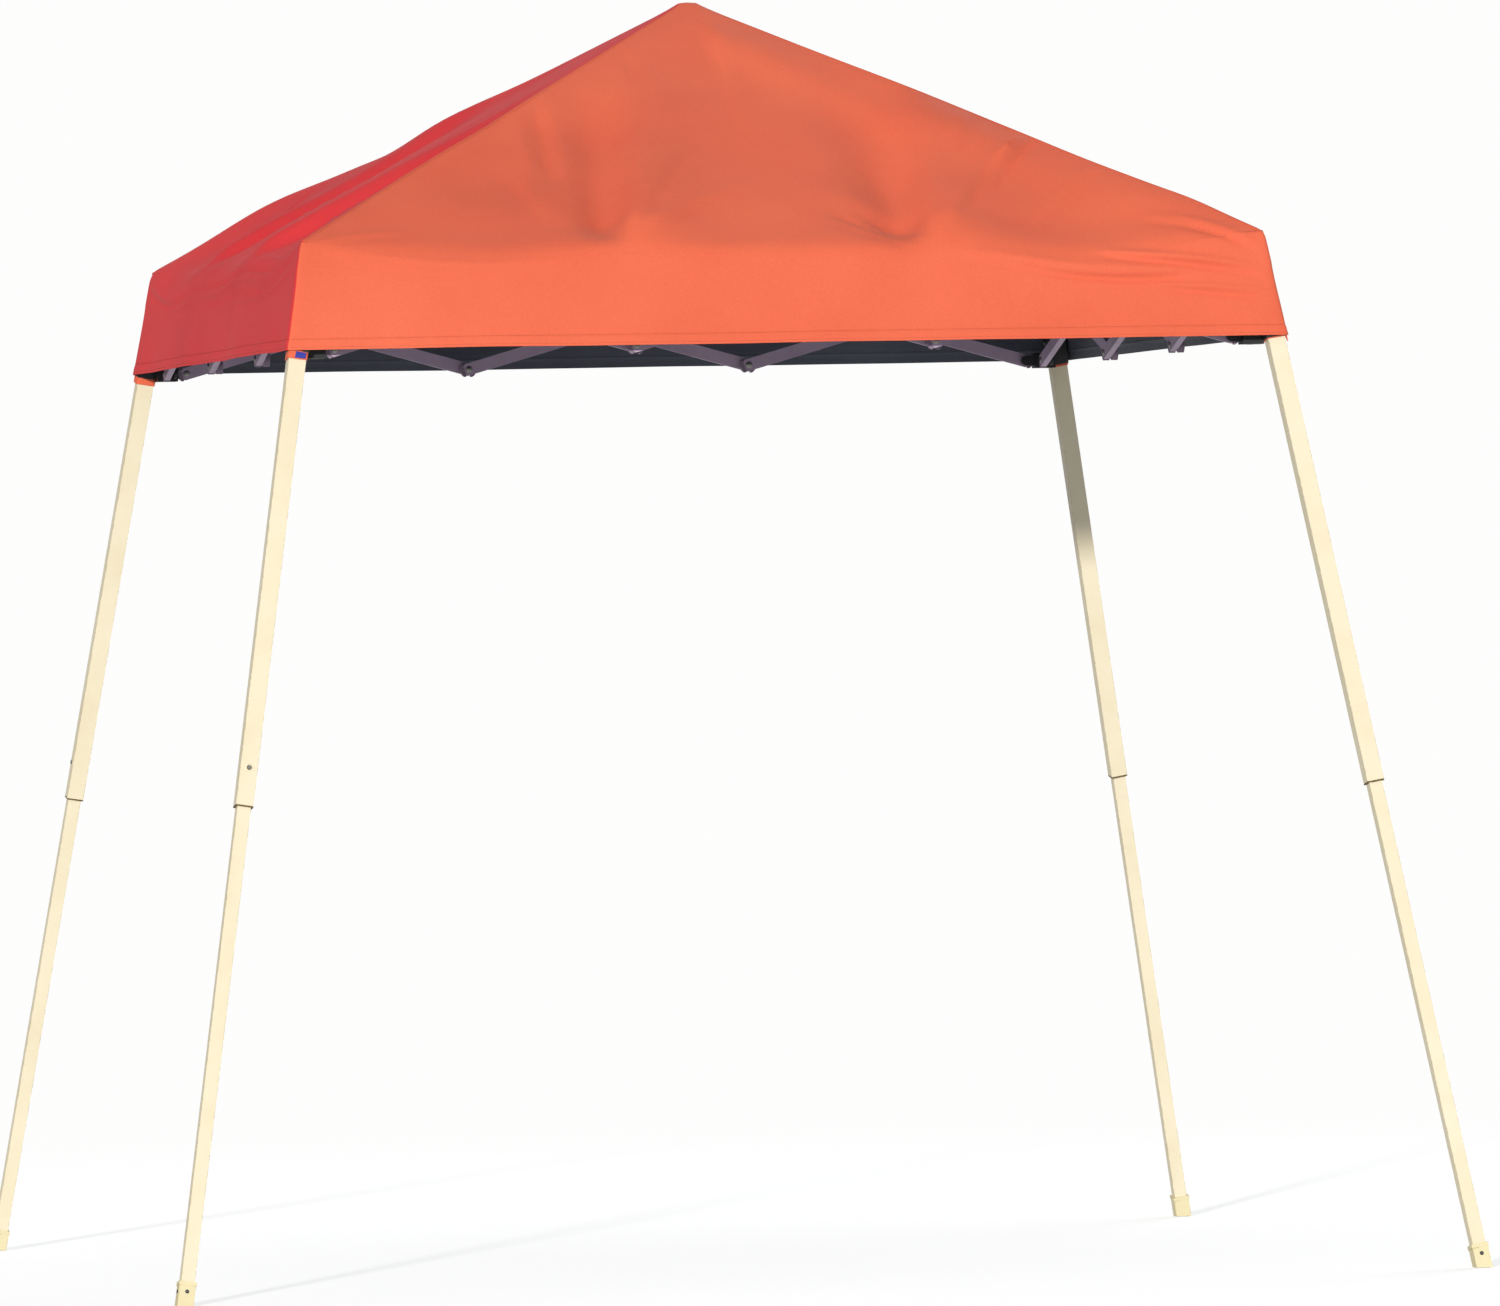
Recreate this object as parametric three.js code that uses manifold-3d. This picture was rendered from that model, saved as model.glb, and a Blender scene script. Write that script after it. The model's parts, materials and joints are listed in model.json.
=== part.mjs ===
// Slant-leg pop-up shelter: square pyramid canopy over a folding scissor frame.
// Millimetres, +Z up, origin on the floor below the peak. The front side faces -Y, right is +X.
// The front side and the front-left corner are modelled, then turned by 90 degree steps.
import * as THREE from "three";
import { mergeVertices } from "three/addons/utils/BufferGeometryUtils.js";
import Module from "manifold-3d";

const wasm = await Module();
wasm.setup();

// ---------- driving dimensions ----------
// Legs. Pairs named _Z are the lower and upper height.
const FOOT_HALF = 1206; // leg axis to centre plane at the floor
const LEG_SLOPE = 0.1675; // inward lean per axis for each mm of height
const UPPER_TUBE = 32; // upper leg, square tube
const LOWER_TUBE = 25; // lower leg, square tube
const LEG_WALL = 1.2;
const UPPER_LEG_Z = [895, 1897]; // ends of the leg's axis
const LOWER_LEG_Z = [8, 1025];
const LEG_TRAVEL = 850; // how far a lower leg telescopes up

// Side trusses
const TRUSS_PLANE = 880; // distance of the truss plane from the centre
const TRUSS_END = 844; // first and last pivot along a side
const TRUSS_UP_Z = 1882; // upper pivots
const TRUSS_LOW_Z = 1724; // lower pivots
const BAR_H = 24; // flat bars, modelled as rectangular tube
const BAR_T = 12;
const BAR_WALL = 0.9;
const BAR_END = 12; // bar beyond its end pivot
const BAR_NOSE = 5; // half height of the bar's blunt end, and where its chamfer starts
const LANE = 6.5; // each bar's centre plane from the truss plane

// Pins
const PIN_R = 3;
const HOLE_R = 3.4;
const HEAD_R = 6;
const HEAD_TIP_R = HEAD_R - 1.4;
const HEAD_T = 1.8;
const GAP = 0.3;
const PIN_LAP = 0.4; // how far a pin's end runs into what it joins

// Rafters and hub
const RAFTER_END = 852; // rafter pivot on the corner bracket, per axis
const RAFTER_LOW_Z = 1930;
const RAFTER_LOW_R = RAFTER_END * Math.SQRT2; // the same pivot along the diagonal
const HUB_PIVOT_R = 40;
const HUB_PIVOT_Z = 2358;
const HUB_R = 52;
const HUB_Z = [2340, 2371];

// ---------- solids ----------
const vec = (x, y, z) => new THREE.Vector3(x, y, z);

function solid(geometry) {
  const bare = geometry.clone();
  bare.deleteAttribute("normal");
  bare.deleteAttribute("uv");
  const merged = mergeVertices(bare, 1e-4);
  return new wasm.Manifold(
    new wasm.Mesh({
      numProp: 3,
      vertProperties: new Float32Array(merged.attributes.position.array),
      triVerts: new Uint32Array(merged.index.array),
    }),
  );
}

function geometryOf(body) {
  const mesh = body.getMesh();
  const geometry = new THREE.BufferGeometry();
  const positions = new Float32Array(mesh.vertProperties);
  geometry.setAttribute("position", new THREE.BufferAttribute(positions, 3));
  geometry.setIndex(new THREE.BufferAttribute(new Uint32Array(mesh.triVerts), 1));
  return geometry;
}

const moved = (body, matrix) => solid(geometryOf(body).applyMatrix4(matrix));
const join = (body, ...parts) => parts.reduce((sum, part) => sum.add(part), body);

function solidFrom(positions, index) {
  const geometry = new THREE.BufferGeometry();
  geometry.setAttribute("position", new THREE.Float32BufferAttribute(positions, 3));
  geometry.setIndex(index);
  return solid(geometry);
}

function box(x0, x1, y0, y1, z0, z1) {
  const geometry = new THREE.BoxGeometry(x1 - x0, y1 - y0, z1 - z0);
  return solid(geometry.translate((x0 + x1) / 2, (y0 + y1) / 2, (z0 + z1) / 2));
}

function cylinder(from, to, radius, endRadius = radius, segments = 8) {
  const run = to.clone().sub(from);
  const geometry = new THREE.CylinderGeometry(endRadius, radius, run.length(), segments);
  geometry.applyQuaternion(
    new THREE.Quaternion().setFromUnitVectors(vec(0, 1, 0), run.clone().normalize()),
  );
  const middle = from.clone().add(to).multiplyScalar(0.5);
  return solid(geometry.translate(middle.x, middle.y, middle.z));
}

const pinHead = (from, to) => cylinder(from, to, HEAD_R, HEAD_TIP_R);

// A polygon in the plane of right and up through origin, run along right x up.
function prism(points, origin, right, up, from, to, hole) {
  const flat = (outline) => outline.map(([a, b]) => new THREE.Vector2(a, b));
  const shape = new THREE.Shape(flat(points));
  if (hole) shape.holes.push(new THREE.Path(flat(hole)));
  const normal = right.clone().cross(up).normalize();
  const geometry = new THREE.ExtrudeGeometry(shape, {
    depth: to - from,
    bevelEnabled: false,
  }).translate(0, 0, from);
  geometry.applyMatrix4(new THREE.Matrix4().makeBasis(right, up, normal).setPosition(origin));
  return solid(geometry);
}

const square = (half) => [
  [-half, -half],
  [half, -half],
  [half, half],
  [-half, half],
];

// ---------- materials ----------
const look = ({ color, roughness, metalness = 0 }) =>
  new THREE.MeshStandardMaterial({ color, roughness, metalness });
const CREAM_PAINT = look({ color: 0xf6ecc9, roughness: 0.42 });
const GREY_PAINT = look({ color: 0x7b6a7c, roughness: 0.45 });
const BLACK_PLASTIC = look({ color: 0x1c1c1e, roughness: 0.5 });
const CREAM_PLASTIC = look({ color: 0xe6dca4, roughness: 0.55 });
const STEEL = look({ color: 0xa9a9a6, roughness: 0.3, metalness: 1 });
const CLOTH_LOOK = look({ color: 0xe4694b, roughness: 0.9 });

// ---------- directions ----------
const UP = vec(0, 0, 1);
const FRONT = vec(0, -1, 0);
// horizontal directions at the front-left corner
const INWARD = vec(1, 1, 0).normalize();
const OUTWARD = vec(-1, -1, 0).normalize();
const ACROSS = vec(1, -1, 0).normalize(); // to the front and right
const ACROSS_BACK = vec(-1, 1, 0).normalize(); // to the back and left

// radius along the front-left diagonal, offset towards ACROSS_BACK
const diagonal = (radius, offset, z) =>
  vec((-radius - offset) / Math.SQRT2, (-radius + offset) / Math.SQRT2, z);

// ---------- bars ----------
// A tube from pivot start to pivot end; normal is the unit normal of its flat face.
// Pins, holes and heads are at shares of its length; a side is 1 along the normal, -1 against it.
// A pin runs through this bar and the next lane on its side, with a head beyond each.
function makeBar(start, end, normal, { pins = [], holes = [], heads = [] }) {
  const direction = end.clone().sub(start);
  const length = direction.length();
  direction.normalize();
  const up = normal.clone().cross(direction).normalize();
  const halfH = BAR_H / 2;
  const halfT = BAR_T / 2;
  const outline = [
    [-BAR_END, -BAR_NOSE],
    [-BAR_NOSE, -halfH],
    [length + BAR_NOSE, -halfH],
    [length + BAR_END, -BAR_NOSE],
    [length + BAR_END, BAR_NOSE],
    [length + BAR_NOSE, halfH],
    [-BAR_NOSE, halfH],
    [-BAR_END, BAR_NOSE],
  ];
  const boreEnd = BAR_END + 5; // past the bar, so both ends are open
  const boreH = halfH - BAR_WALL;
  const boreT = halfT - BAR_WALL;
  const bore = [
    [-boreEnd, -boreH],
    [length + boreEnd, -boreH],
    [length + boreEnd, boreH],
    [-boreEnd, boreH],
  ];
  let body = prism(outline, start, direction, up, -halfT, halfT).subtract(
    prism(bore, start, direction, up, -boreT, boreT),
  );
  const at = (share, offset) =>
    start.clone().addScaledVector(direction, share * length).addScaledVector(normal, offset);
  const faceHead = (share, side) =>
    pinHead(at(share, side * (halfT - GAP)), at(share, side * (halfT + HEAD_T)));

  for (const share of holes)
    body = body.subtract(cylinder(at(share, -BAR_T), at(share, BAR_T), HOLE_R));
  for (const [share, side] of heads) body = body.add(faceHead(share, side));
  const far = 2 * LANE + halfT + GAP; // just beyond the neighbouring bar
  for (const [share, side] of pins)
    body = join(
      body,
      cylinder(at(share, -side * (halfT - PIN_LAP)), at(share, side * (far + PIN_LAP)), PIN_R),
      faceHead(share, -side),
      pinHead(at(share, side * far), at(share, side * (far + HEAD_T))),
    );
  return body;
}

// Front truss, from left to right: one entry for each crossing.
const CROSSINGS = [
  {
    rise: { pins: [[0.5, -1], [1, -1]], heads: [[0, 1]] },
    fall: { holes: [0, 0.5], heads: [[1, -1]] },
  },
  {
    rise: { pins: [[1, -1]], heads: [[0, 1], [0.5, 1]] },
    fall: { holes: [0], heads: [[0.5, -1], [1, -1]] },
  },
  {
    rise: { pins: [[0.5, -1]], heads: [[0, 1]], holes: [1] },
    fall: { holes: [0, 0.5], heads: [[1, -1]] },
  },
];

const trussNode = (index, z, lane) =>
  vec(-TRUSS_END + (index * 2 * TRUSS_END) / CROSSINGS.length, -TRUSS_PLANE - lane, z);

// Rising bars lie in the outer lane, falling bars in the inner lane.
const makeRiseBar = (index, fittings) =>
  makeBar(
    trussNode(index, TRUSS_LOW_Z, LANE),
    trussNode(index + 1, TRUSS_UP_Z, LANE),
    FRONT,
    fittings,
  );
const makeFallBar = (index, fittings) =>
  makeBar(
    trussNode(index, TRUSS_UP_Z, -LANE),
    trussNode(index + 1, TRUSS_LOW_Z, -LANE),
    FRONT,
    fittings,
  );

// Rafters, each an upper and a lower bar in neighbouring lanes, meeting at the knee.
const hubPivot = diagonal(HUB_PIVOT_R, 0, HUB_PIVOT_Z);
const lowPivot = diagonal(RAFTER_LOW_R, 0, RAFTER_LOW_Z);
const knee = hubPivot.clone().add(lowPivot).multiplyScalar(0.5);

function makeRafter(start, end, lane, fittings) {
  const shifted = (point) => point.clone().addScaledVector(ACROSS_BACK, lane);
  return makeBar(shifted(start), shifted(end), ACROSS_BACK, fittings);
}

const makeUpperRafter = () =>
  makeRafter(hubPivot, knee, LANE, { holes: [0], pins: [[1, -1]] });
const makeLowerRafter = () => makeRafter(knee, lowPivot, -LANE, { holes: [0, 1] });

// ---------- legs, front-left corner ----------
const legOut = (z) => FOOT_HALF - LEG_SLOPE * z; // leg axis to centre plane
const legAt = (z) => vec(-legOut(z), -legOut(z), z);
const legAxis = vec(LEG_SLOPE, LEG_SLOPE, 1).normalize();
// the leg's inner faces look along legX and legY
const legInward = INWARD.clone().addScaledVector(legAxis, -INWARD.dot(legAxis)).normalize();
const legX = legInward.clone().add(ACROSS).normalize(); // nearly +X
const legY = legInward.clone().sub(ACROSS).normalize(); // nearly +Y

// A square bar, or a tube if a wall is given, between two heights of the leg axis.
function legTube(half, z0, z1, wall) {
  const length = legAt(z1).sub(legAt(z0)).length();
  const hole = wall ? square(half - wall) : undefined;
  return prism(square(half), legAt(z0), legX, legY, 0, length, hole);
}

// Snap button on the front face. Spans are distances from the leg axis.
const BUTTON_Z = 963;
const BUTTON_R = 4;
const BUTTON_TIP_R = BUTTON_R - 1.5;
const BUTTON_HOLE_R = BUTTON_R + 0.5;
const BUTTON_ROOT = 7.5;
const BUTTON_TIP = UPPER_TUBE / 2 + 3.2; // stands proud of the upper leg
const UPPER_HOLE_SPAN = [11, 20];
const LOWER_HOLE_SPAN = [9, 14];
const legFront = legY.clone().negate();

function buttonCylinder(z, [from, to], radius, endRadius = radius) {
  const at = (distance) => legAt(z).addScaledVector(legFront, distance);
  return cylinder(at(from), at(to), radius, endRadius, 12);
}

// One button hole for the raised canopy and one for the leg pushed up.
function makeUpperLeg() {
  const lift = LEG_TRAVEL / Math.sqrt(1 + 2 * LEG_SLOPE * LEG_SLOPE);
  let leg = legTube(UPPER_TUBE / 2, ...UPPER_LEG_Z, LEG_WALL);
  for (const z of [BUTTON_Z, BUTTON_Z + lift])
    leg = leg.subtract(buttonCylinder(z, UPPER_HOLE_SPAN, BUTTON_HOLE_R));
  return leg;
}

const makeLowerLeg = () =>
  legTube(LOWER_TUBE / 2, ...LOWER_LEG_Z, LEG_WALL).subtract(
    buttonCylinder(BUTTON_Z, LOWER_HOLE_SPAN, BUTTON_HOLE_R),
  );

const makeButton = () =>
  buttonCylinder(BUTTON_Z, [BUTTON_ROOT, BUTTON_TIP - 1], BUTTON_R).add(
    buttonCylinder(BUTTON_Z, [BUTTON_TIP - 1.2, BUTTON_TIP], BUTTON_R, BUTTON_TIP_R),
  );

// Foot cap: a socket along the leg, cut flat on the floor, with a rim at its mouth.
const FOOT_CAP = 30;
const FOOT_CAP_Z = 42;
const FOOT_SEAT_Z = 7; // bottom of the socket
const FOOT_RIM_H = 7;
const FOOT_RIM_OUT = 1.2;

const makeFootCap = () =>
  legTube(FOOT_CAP / 2, -40, FOOT_CAP_Z)
    .add(legTube(FOOT_CAP / 2 + FOOT_RIM_OUT, FOOT_CAP_Z - FOOT_RIM_H, FOOT_CAP_Z))
    .subtract(legTube(LOWER_TUBE / 2 + GAP, FOOT_SEAT_Z, FOOT_CAP_Z + 20))
    .subtract(box(-1400, -1000, -1400, -1000, -100, 0));

// ---------- truss ears, front-left corner ----------
// The pivot axis of the front truss runs along Y, that of the left truss along X.
const frontPivot = (y, z) => vec(-TRUSS_END, y, z);
const leftPivot = (x, z) => vec(x, -TRUSS_END, z);

// A plate from base to the pivot, rounded about it; faces are its outer and inner face.
function earParts(pivotAt, faces, base, z, radius) {
  const reach = [base, -TRUSS_END];
  const sides = pivotAt === frontPivot ? [...reach, ...faces] : [...faces, ...reach];
  return [
    box(...sides, z - radius, z + radius),
    cylinder(pivotAt(faces[0], z), pivotAt(faces[1], z), radius, radius, 16),
  ];
}

// ---------- corner bracket ----------
const CUP_INNER = -866; // inner faces of the cup
const CUP_WALL = 2.2;
const CUP_CLEAR = 0.8;
const CUP_Z = [1858, 1910];
const CUP_EAR_R = 11;
const CUP_EAR_BASE = CUP_INNER - 10;
const SOCKET_LOW_Z = 1800; // below the cup, so the socket is open
const LEG_PIVOT_Z = 1896; // about this height the leg rocks in its bracket
const LEG_ROCK = 9.75; // degrees the leg rocks while folding
// outer and inner face of each lane
const OUTER_LANE = [-TRUSS_PLANE - LANE - BAR_T / 2, -TRUSS_PLANE - LANE + BAR_T / 2];
const INNER_LANE = [-TRUSS_PLANE + LANE - BAR_T / 2, -TRUSS_PLANE + LANE + BAR_T / 2];

// Rafter clevis: spans are offsets from the diagonal, towards ACROSS_BACK.
const CHEEK_SPANS = [
  [0.2, 4.4],
  [-17.2, -13],
];
const WEB_SPAN = [-17, 4];
const RAFTER_PIN_SPAN = [4, -17];
// outer end of the cheeks and the web: radius along the diagonal, z
const CLEVIS_FOOT = [
  [RAFTER_LOW_R + 58, CUP_Z[1] - 8],
  [RAFTER_LOW_R + 48, CUP_Z[1] + 2],
];
const CHEEK_OUTLINE = [
  [RAFTER_LOW_R - 6, RAFTER_LOW_Z - 9],
  [RAFTER_LOW_R + 6, CUP_Z[1] - 8],
  ...CLEVIS_FOOT,
  [RAFTER_LOW_R + 10, RAFTER_LOW_Z + 7],
  [RAFTER_LOW_R + 3, RAFTER_LOW_Z + 11],
  [RAFTER_LOW_R - 5, RAFTER_LOW_Z + 10],
  [RAFTER_LOW_R - 9, RAFTER_LOW_Z + 3],
];
const WEB_OUTLINE = [
  [RAFTER_LOW_R + 18, CUP_Z[1] - 8],
  ...CLEVIS_FOOT,
  [RAFTER_LOW_R + 18, CUP_Z[1] + 2],
];

// Solid block, square in plan, whose two outer faces lean with the leg.
function makeCupBlock() {
  const positions = CUP_Z.flatMap((z) => {
    const outer = -(legOut(z) + UPPER_TUBE / 2 + CUP_CLEAR + CUP_WALL);
    return [
      outer, outer, z,
      CUP_INNER, outer, z,
      CUP_INNER, CUP_INNER, z,
      outer, CUP_INNER, z,
    ];
  });
  return solidFrom(positions, [
    0, 2, 1, 0, 3, 2, // bottom
    4, 5, 6, 4, 6, 7, // top
    0, 1, 5, 0, 5, 4,
    1, 2, 6, 1, 6, 5,
    2, 3, 7, 2, 7, 6,
    3, 0, 4, 3, 4, 7,
  ]);
}

// Socket wide enough for the leg to rock about its top: the hull of its two end positions.
function makeLegSocket() {
  const pivot = legAt(LEG_PIVOT_Z);
  const leg = legTube(UPPER_TUBE / 2 + CUP_CLEAR, SOCKET_LOW_Z, UPPER_LEG_Z[1] + 1);
  const ends = [0, LEG_ROCK].map((degrees) => {
    const angle = (degrees * Math.PI) / 180;
    const rock = new THREE.Matrix4()
      .makeTranslation(pivot.x, pivot.y, pivot.z)
      .multiply(new THREE.Matrix4().makeRotationAxis(ACROSS, angle))
      .multiply(new THREE.Matrix4().makeTranslation(-pivot.x, -pivot.y, -pivot.z));
    return moved(leg, rock);
  });
  return wasm.Manifold.hull(ends);
}

// The two truss pins with a head on each, and the rafter pin.
function bracketPins() {
  const outer = OUTER_LANE[0];
  const inner = INNER_LANE[1];
  const front = (y) => frontPivot(y, TRUSS_UP_Z);
  const left = (x) => leftPivot(x, TRUSS_UP_Z);
  const [rafterFrom, rafterTo] = RAFTER_PIN_SPAN.map((offset) =>
    diagonal(RAFTER_LOW_R, offset, RAFTER_LOW_Z),
  );
  return [
    cylinder(front(outer - HEAD_T), front(inner + GAP + PIN_LAP), PIN_R),
    cylinder(front(inner + GAP), front(inner + GAP + HEAD_T - 1), HEAD_R - 0.5, HEAD_R - 1.6),
    cylinder(left(inner + HEAD_T), left(outer - GAP - PIN_LAP), PIN_R),
    pinHead(left(outer - GAP), left(outer - GAP - HEAD_T)),
    cylinder(rafterFrom, rafterTo, PIN_R),
  ];
}

function makeBracket() {
  const plate = (outline, [from, to]) =>
    prism(outline, vec(0, 0, 0), OUTWARD, UP, from, to);
  const body = join(
    makeCupBlock(),
    ...earParts(frontPivot, OUTER_LANE, CUP_EAR_BASE, TRUSS_UP_Z, CUP_EAR_R),
    ...earParts(leftPivot, INNER_LANE, CUP_EAR_BASE, TRUSS_UP_Z, CUP_EAR_R),
    ...CHEEK_SPANS.map((span) => plate(CHEEK_OUTLINE, span)),
    plate(WEB_OUTLINE, WEB_SPAN),
  );
  return join(body.subtract(makeLegSocket()), ...bracketPins());
}

// ---------- slider ----------
const SLIDER_HALF = 18.9;
const SLIDER_CLEAR = 0.7;
const SLIDER_Z = [1719, 1776];
const SLIDER_BLOCK = [-902, -862]; // inner corner block, in x and in y
const SLIDER_BLOCK_HALF_H = 15;
const SLIDER_EAR_R = 10;
const SLIDER_EAR_BASE = -866;
const SLIDER_HEAD_SPAN = [-0.5, 1.7]; // from the ear's face outwards
// each ear's two faces, the face that carries the head, and the way that face looks
const SLIDER_EARS = [
  { pivotAt: frontPivot, faces: [-873.6, -868.5], headFace: -868.5, way: 1 },
  { pivotAt: leftPivot, faces: [-892, -884.5], headFace: -892, way: -1 },
];
const BOLT_R = 4;
const BOLT_SPAN = [SLIDER_HALF - 0.5, SLIDER_HALF + 2]; // from the leg axis
const BOLT_DEPTHS = [26, 10]; // below the slider's top

function makeSlider() {
  const blockZ = [TRUSS_LOW_Z - SLIDER_BLOCK_HALF_H, TRUSS_LOW_Z + SLIDER_BLOCK_HALF_H];
  let slider = legTube(SLIDER_HALF, ...SLIDER_Z).add(
    box(...SLIDER_BLOCK, ...SLIDER_BLOCK, ...blockZ),
  );
  for (const { pivotAt, faces, headFace, way } of SLIDER_EARS) {
    const [from, to] = SLIDER_HEAD_SPAN.map((out) =>
      pivotAt(headFace + way * out, TRUSS_LOW_Z),
    );
    slider = join(
      slider,
      ...earParts(pivotAt, faces, SLIDER_EAR_BASE, TRUSS_LOW_Z, SLIDER_EAR_R),
      pinHead(from, to),
    );
  }
  // two bolt heads on each inner face
  for (const depth of BOLT_DEPTHS)
    for (const normal of [legX, legY]) {
      const [from, to] = BOLT_SPAN.map((distance) =>
        legAt(SLIDER_Z[1] - depth).addScaledVector(normal, distance),
      );
      slider = slider.add(cylinder(from, to, BOLT_R, BOLT_R, 6));
    }
  return slider.subtract(
    legTube(UPPER_TUBE / 2 + SLIDER_CLEAR, SLIDER_Z[0] - 40, SLIDER_Z[1] + 40),
  );
}

// ---------- hub ----------
const SLOT_INNER_R = 24;
const SLOT_W = 2 * LANE; // centred on the upper rafter's lane
const HUB_PIN_LAP = 2; // pin beyond each side of its slot

// A disc with a rafter slot and a pin across it on each diagonal.
function makeHub() {
  const slotOutline = [
    [SLOT_INNER_R, HUB_Z[0] - 5],
    [HUB_R + 8, HUB_Z[0] - 5],
    [HUB_R + 8, HUB_Z[1] + 5],
    [SLOT_INNER_R, HUB_Z[1] + 5],
  ];
  const slot = prism(slotOutline, vec(0, 0, 0), OUTWARD, UP, 0, SLOT_W);
  const pin = cylinder(
    diagonal(HUB_PIVOT_R, -HUB_PIN_LAP, HUB_PIVOT_Z),
    diagonal(HUB_PIVOT_R, SLOT_W + HUB_PIN_LAP, HUB_PIVOT_Z),
    PIN_R,
  );
  let hub = cylinder(vec(0, 0, HUB_Z[0]), vec(0, 0, HUB_Z[1]), HUB_R, HUB_R, 32);
  for (let quarter = 0; quarter < 4; quarter++) {
    const turn = new THREE.Matrix4().makeRotationZ((quarter * Math.PI) / 2);
    hub = hub.subtract(moved(slot, turn)).add(moved(pin, turn));
  }
  return hub;
}

// radius, z
const HUB_CAP_PROFILE = [
  [0, 2372],
  [38, 2372],
  [38, 2376],
  [31, 2382.5],
  [20, 2390],
  [9, 2394.5],
  [0, 2396],
];

function makeHubCap() {
  const points = HUB_CAP_PROFILE.map(([radius, z]) => new THREE.Vector2(radius, z));
  return solid(new THREE.LatheGeometry(points, 24).rotateX(Math.PI / 2));
}

// ---------- canopy ----------
const VALANCE_HALF = 942; // canopy half width at its lower edge
const VALANCE_Z = 1724;
const EAVE_HALF = 906;
const EAVE_Z = 1924;
const EAVE_IN = 3; // the eave's edge is cut off this far in
const EAVE_DOWN = 6; // and this far down
const PEAK_Z = 2403;
const PEAK_DIP = 2.4; // the blunted tip lies this far below the peak
const CLOTH = 1.4;
const HEM_H = 24;
const HEM_T = 0.9; // extra thickness of the folded hem
const CORNER_R = 5;
// half width, dip below the roof plane
const ROOF_STATIONS = [
  [455, 0],
  [14, 0.8],
  [5, 2.2],
];

// Square ring with rounded corners, four points to a corner.
function ringPoints(half, z) {
  const radius = Math.min(CORNER_R, half * 0.6);
  const points = [];
  for (const [quarter, [signX, signY]] of [[1, 1], [-1, 1], [-1, -1], [1, -1]].entries())
    for (let k = 0; k < 4; k++) {
      const angle = (quarter * Math.PI) / 2 + ((k / 3) * Math.PI) / 2;
      points.push([
        (half - radius) * signX + radius * Math.cos(angle),
        (half - radius) * signY + radius * Math.sin(angle),
        z,
      ]);
    }
  return points;
}

// Rings of the outer skin from the hem up to the tip, then of the inner skin back down.
function makeCanopy() {
  const roofSlope = (PEAK_Z - EAVE_Z) / EAVE_HALF;
  const roofZ = (half) => EAVE_Z + (EAVE_HALF - half) * roofSlope;
  const flare = (VALANCE_HALF - EAVE_HALF) / (EAVE_Z - VALANCE_Z);
  const sideHalf = (z) => VALANCE_HALF - (z - VALANCE_Z) * flare;
  const roofT = CLOTH * Math.hypot(1, roofSlope); // vertical thickness of the roof
  const hemZ = VALANCE_Z + HEM_H;
  const sideTopZ = EAVE_Z - EAVE_DOWN;
  const roofEdge = EAVE_HALF - EAVE_IN;
  const roof = ROOF_STATIONS.map(([half, dip]) => [half, roofZ(half) - dip]);
  const underside = roof.map(([half, z]) => [half, z - roofT]).reverse();

  // half width, z
  const outerSkin = [
    [VALANCE_HALF - CLOTH - HEM_T, VALANCE_Z],
    [VALANCE_HALF, VALANCE_Z],
    [sideHalf(hemZ), hemZ],
    [sideHalf(sideTopZ), sideTopZ],
    [roofEdge, roofZ(roofEdge)],
    ...roof,
  ];
  const innerSkin = [
    ...underside,
    [roofEdge - CLOTH, roofZ(roofEdge) - roofT],
    [sideHalf(sideTopZ) - CLOTH, sideTopZ - roofT * 0.5],
    [sideHalf(hemZ) - CLOTH, hemZ],
    [sideHalf(hemZ) - CLOTH - HEM_T, hemZ - 1],
  ];
  const rings = [...outerSkin, ...innerSkin].map(([half, z]) => ringPoints(half, z));
  const count = rings[0].length;
  const tipZ = PEAK_Z - PEAK_DIP;
  const positions = [...rings.flat(2), 0, 0, tipZ, 0, 0, tipZ - roofT];
  const top = rings.length * count;
  const under = top + 1;
  const outerTip = (outerSkin.length - 1) * count; // first point of the ring round the tip
  const innerTip = outerTip + count;

  const index = [];
  for (let i = 0; i < rings.length; i++) {
    const ring = i * count;
    if (ring === outerTip) continue; // the skins are closed by fans here, not joined
    const next = ((i + 1) % rings.length) * count;
    for (let k = 0; k < count; k++) {
      const l = (k + 1) % count;
      index.push(ring + k, ring + l, next + l, ring + k, next + l, next + k);
    }
  }
  for (let k = 0; k < count; k++) {
    const l = (k + 1) % count;
    index.push(outerTip + k, outerTip + l, top);
    index.push(innerTip + l, innerTip + k, under);
  }
  return solidFrom(positions, index);
}

// ---------- assembly ----------
const root = new THREE.Group();
root.name = "popup_shelter";
// one group for each quarter turn about the vertical axis
const quarters = [0, 1, 2, 3].map((quarter) => {
  const group = new THREE.Group();
  group.rotation.z = (quarter * Math.PI) / 2;
  root.add(group);
  return group;
});
const SIDES = ["front", "right", "back", "left"];
const CORNERS = ["fl", "fr", "br", "bl"];

function add(name, geometry, material, parent = root) {
  const mesh = new THREE.Mesh(geometry, material);
  mesh.name = name;
  parent.add(mesh);
}

function addTurned(names, body, material) {
  const geometry = geometryOf(body);
  names.forEach((name, quarter) => add(name, geometry, material, quarters[quarter]));
}

CROSSINGS.forEach(({ rise, fall }, i) => {
  const names = (kind) => SIDES.map((side) => `${side}_${kind}_bar_${i + 1}`);
  addTurned(names("rise"), makeRiseBar(i, rise), GREY_PAINT);
  addTurned(names("fall"), makeFallBar(i, fall), GREY_PAINT);
});

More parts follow.
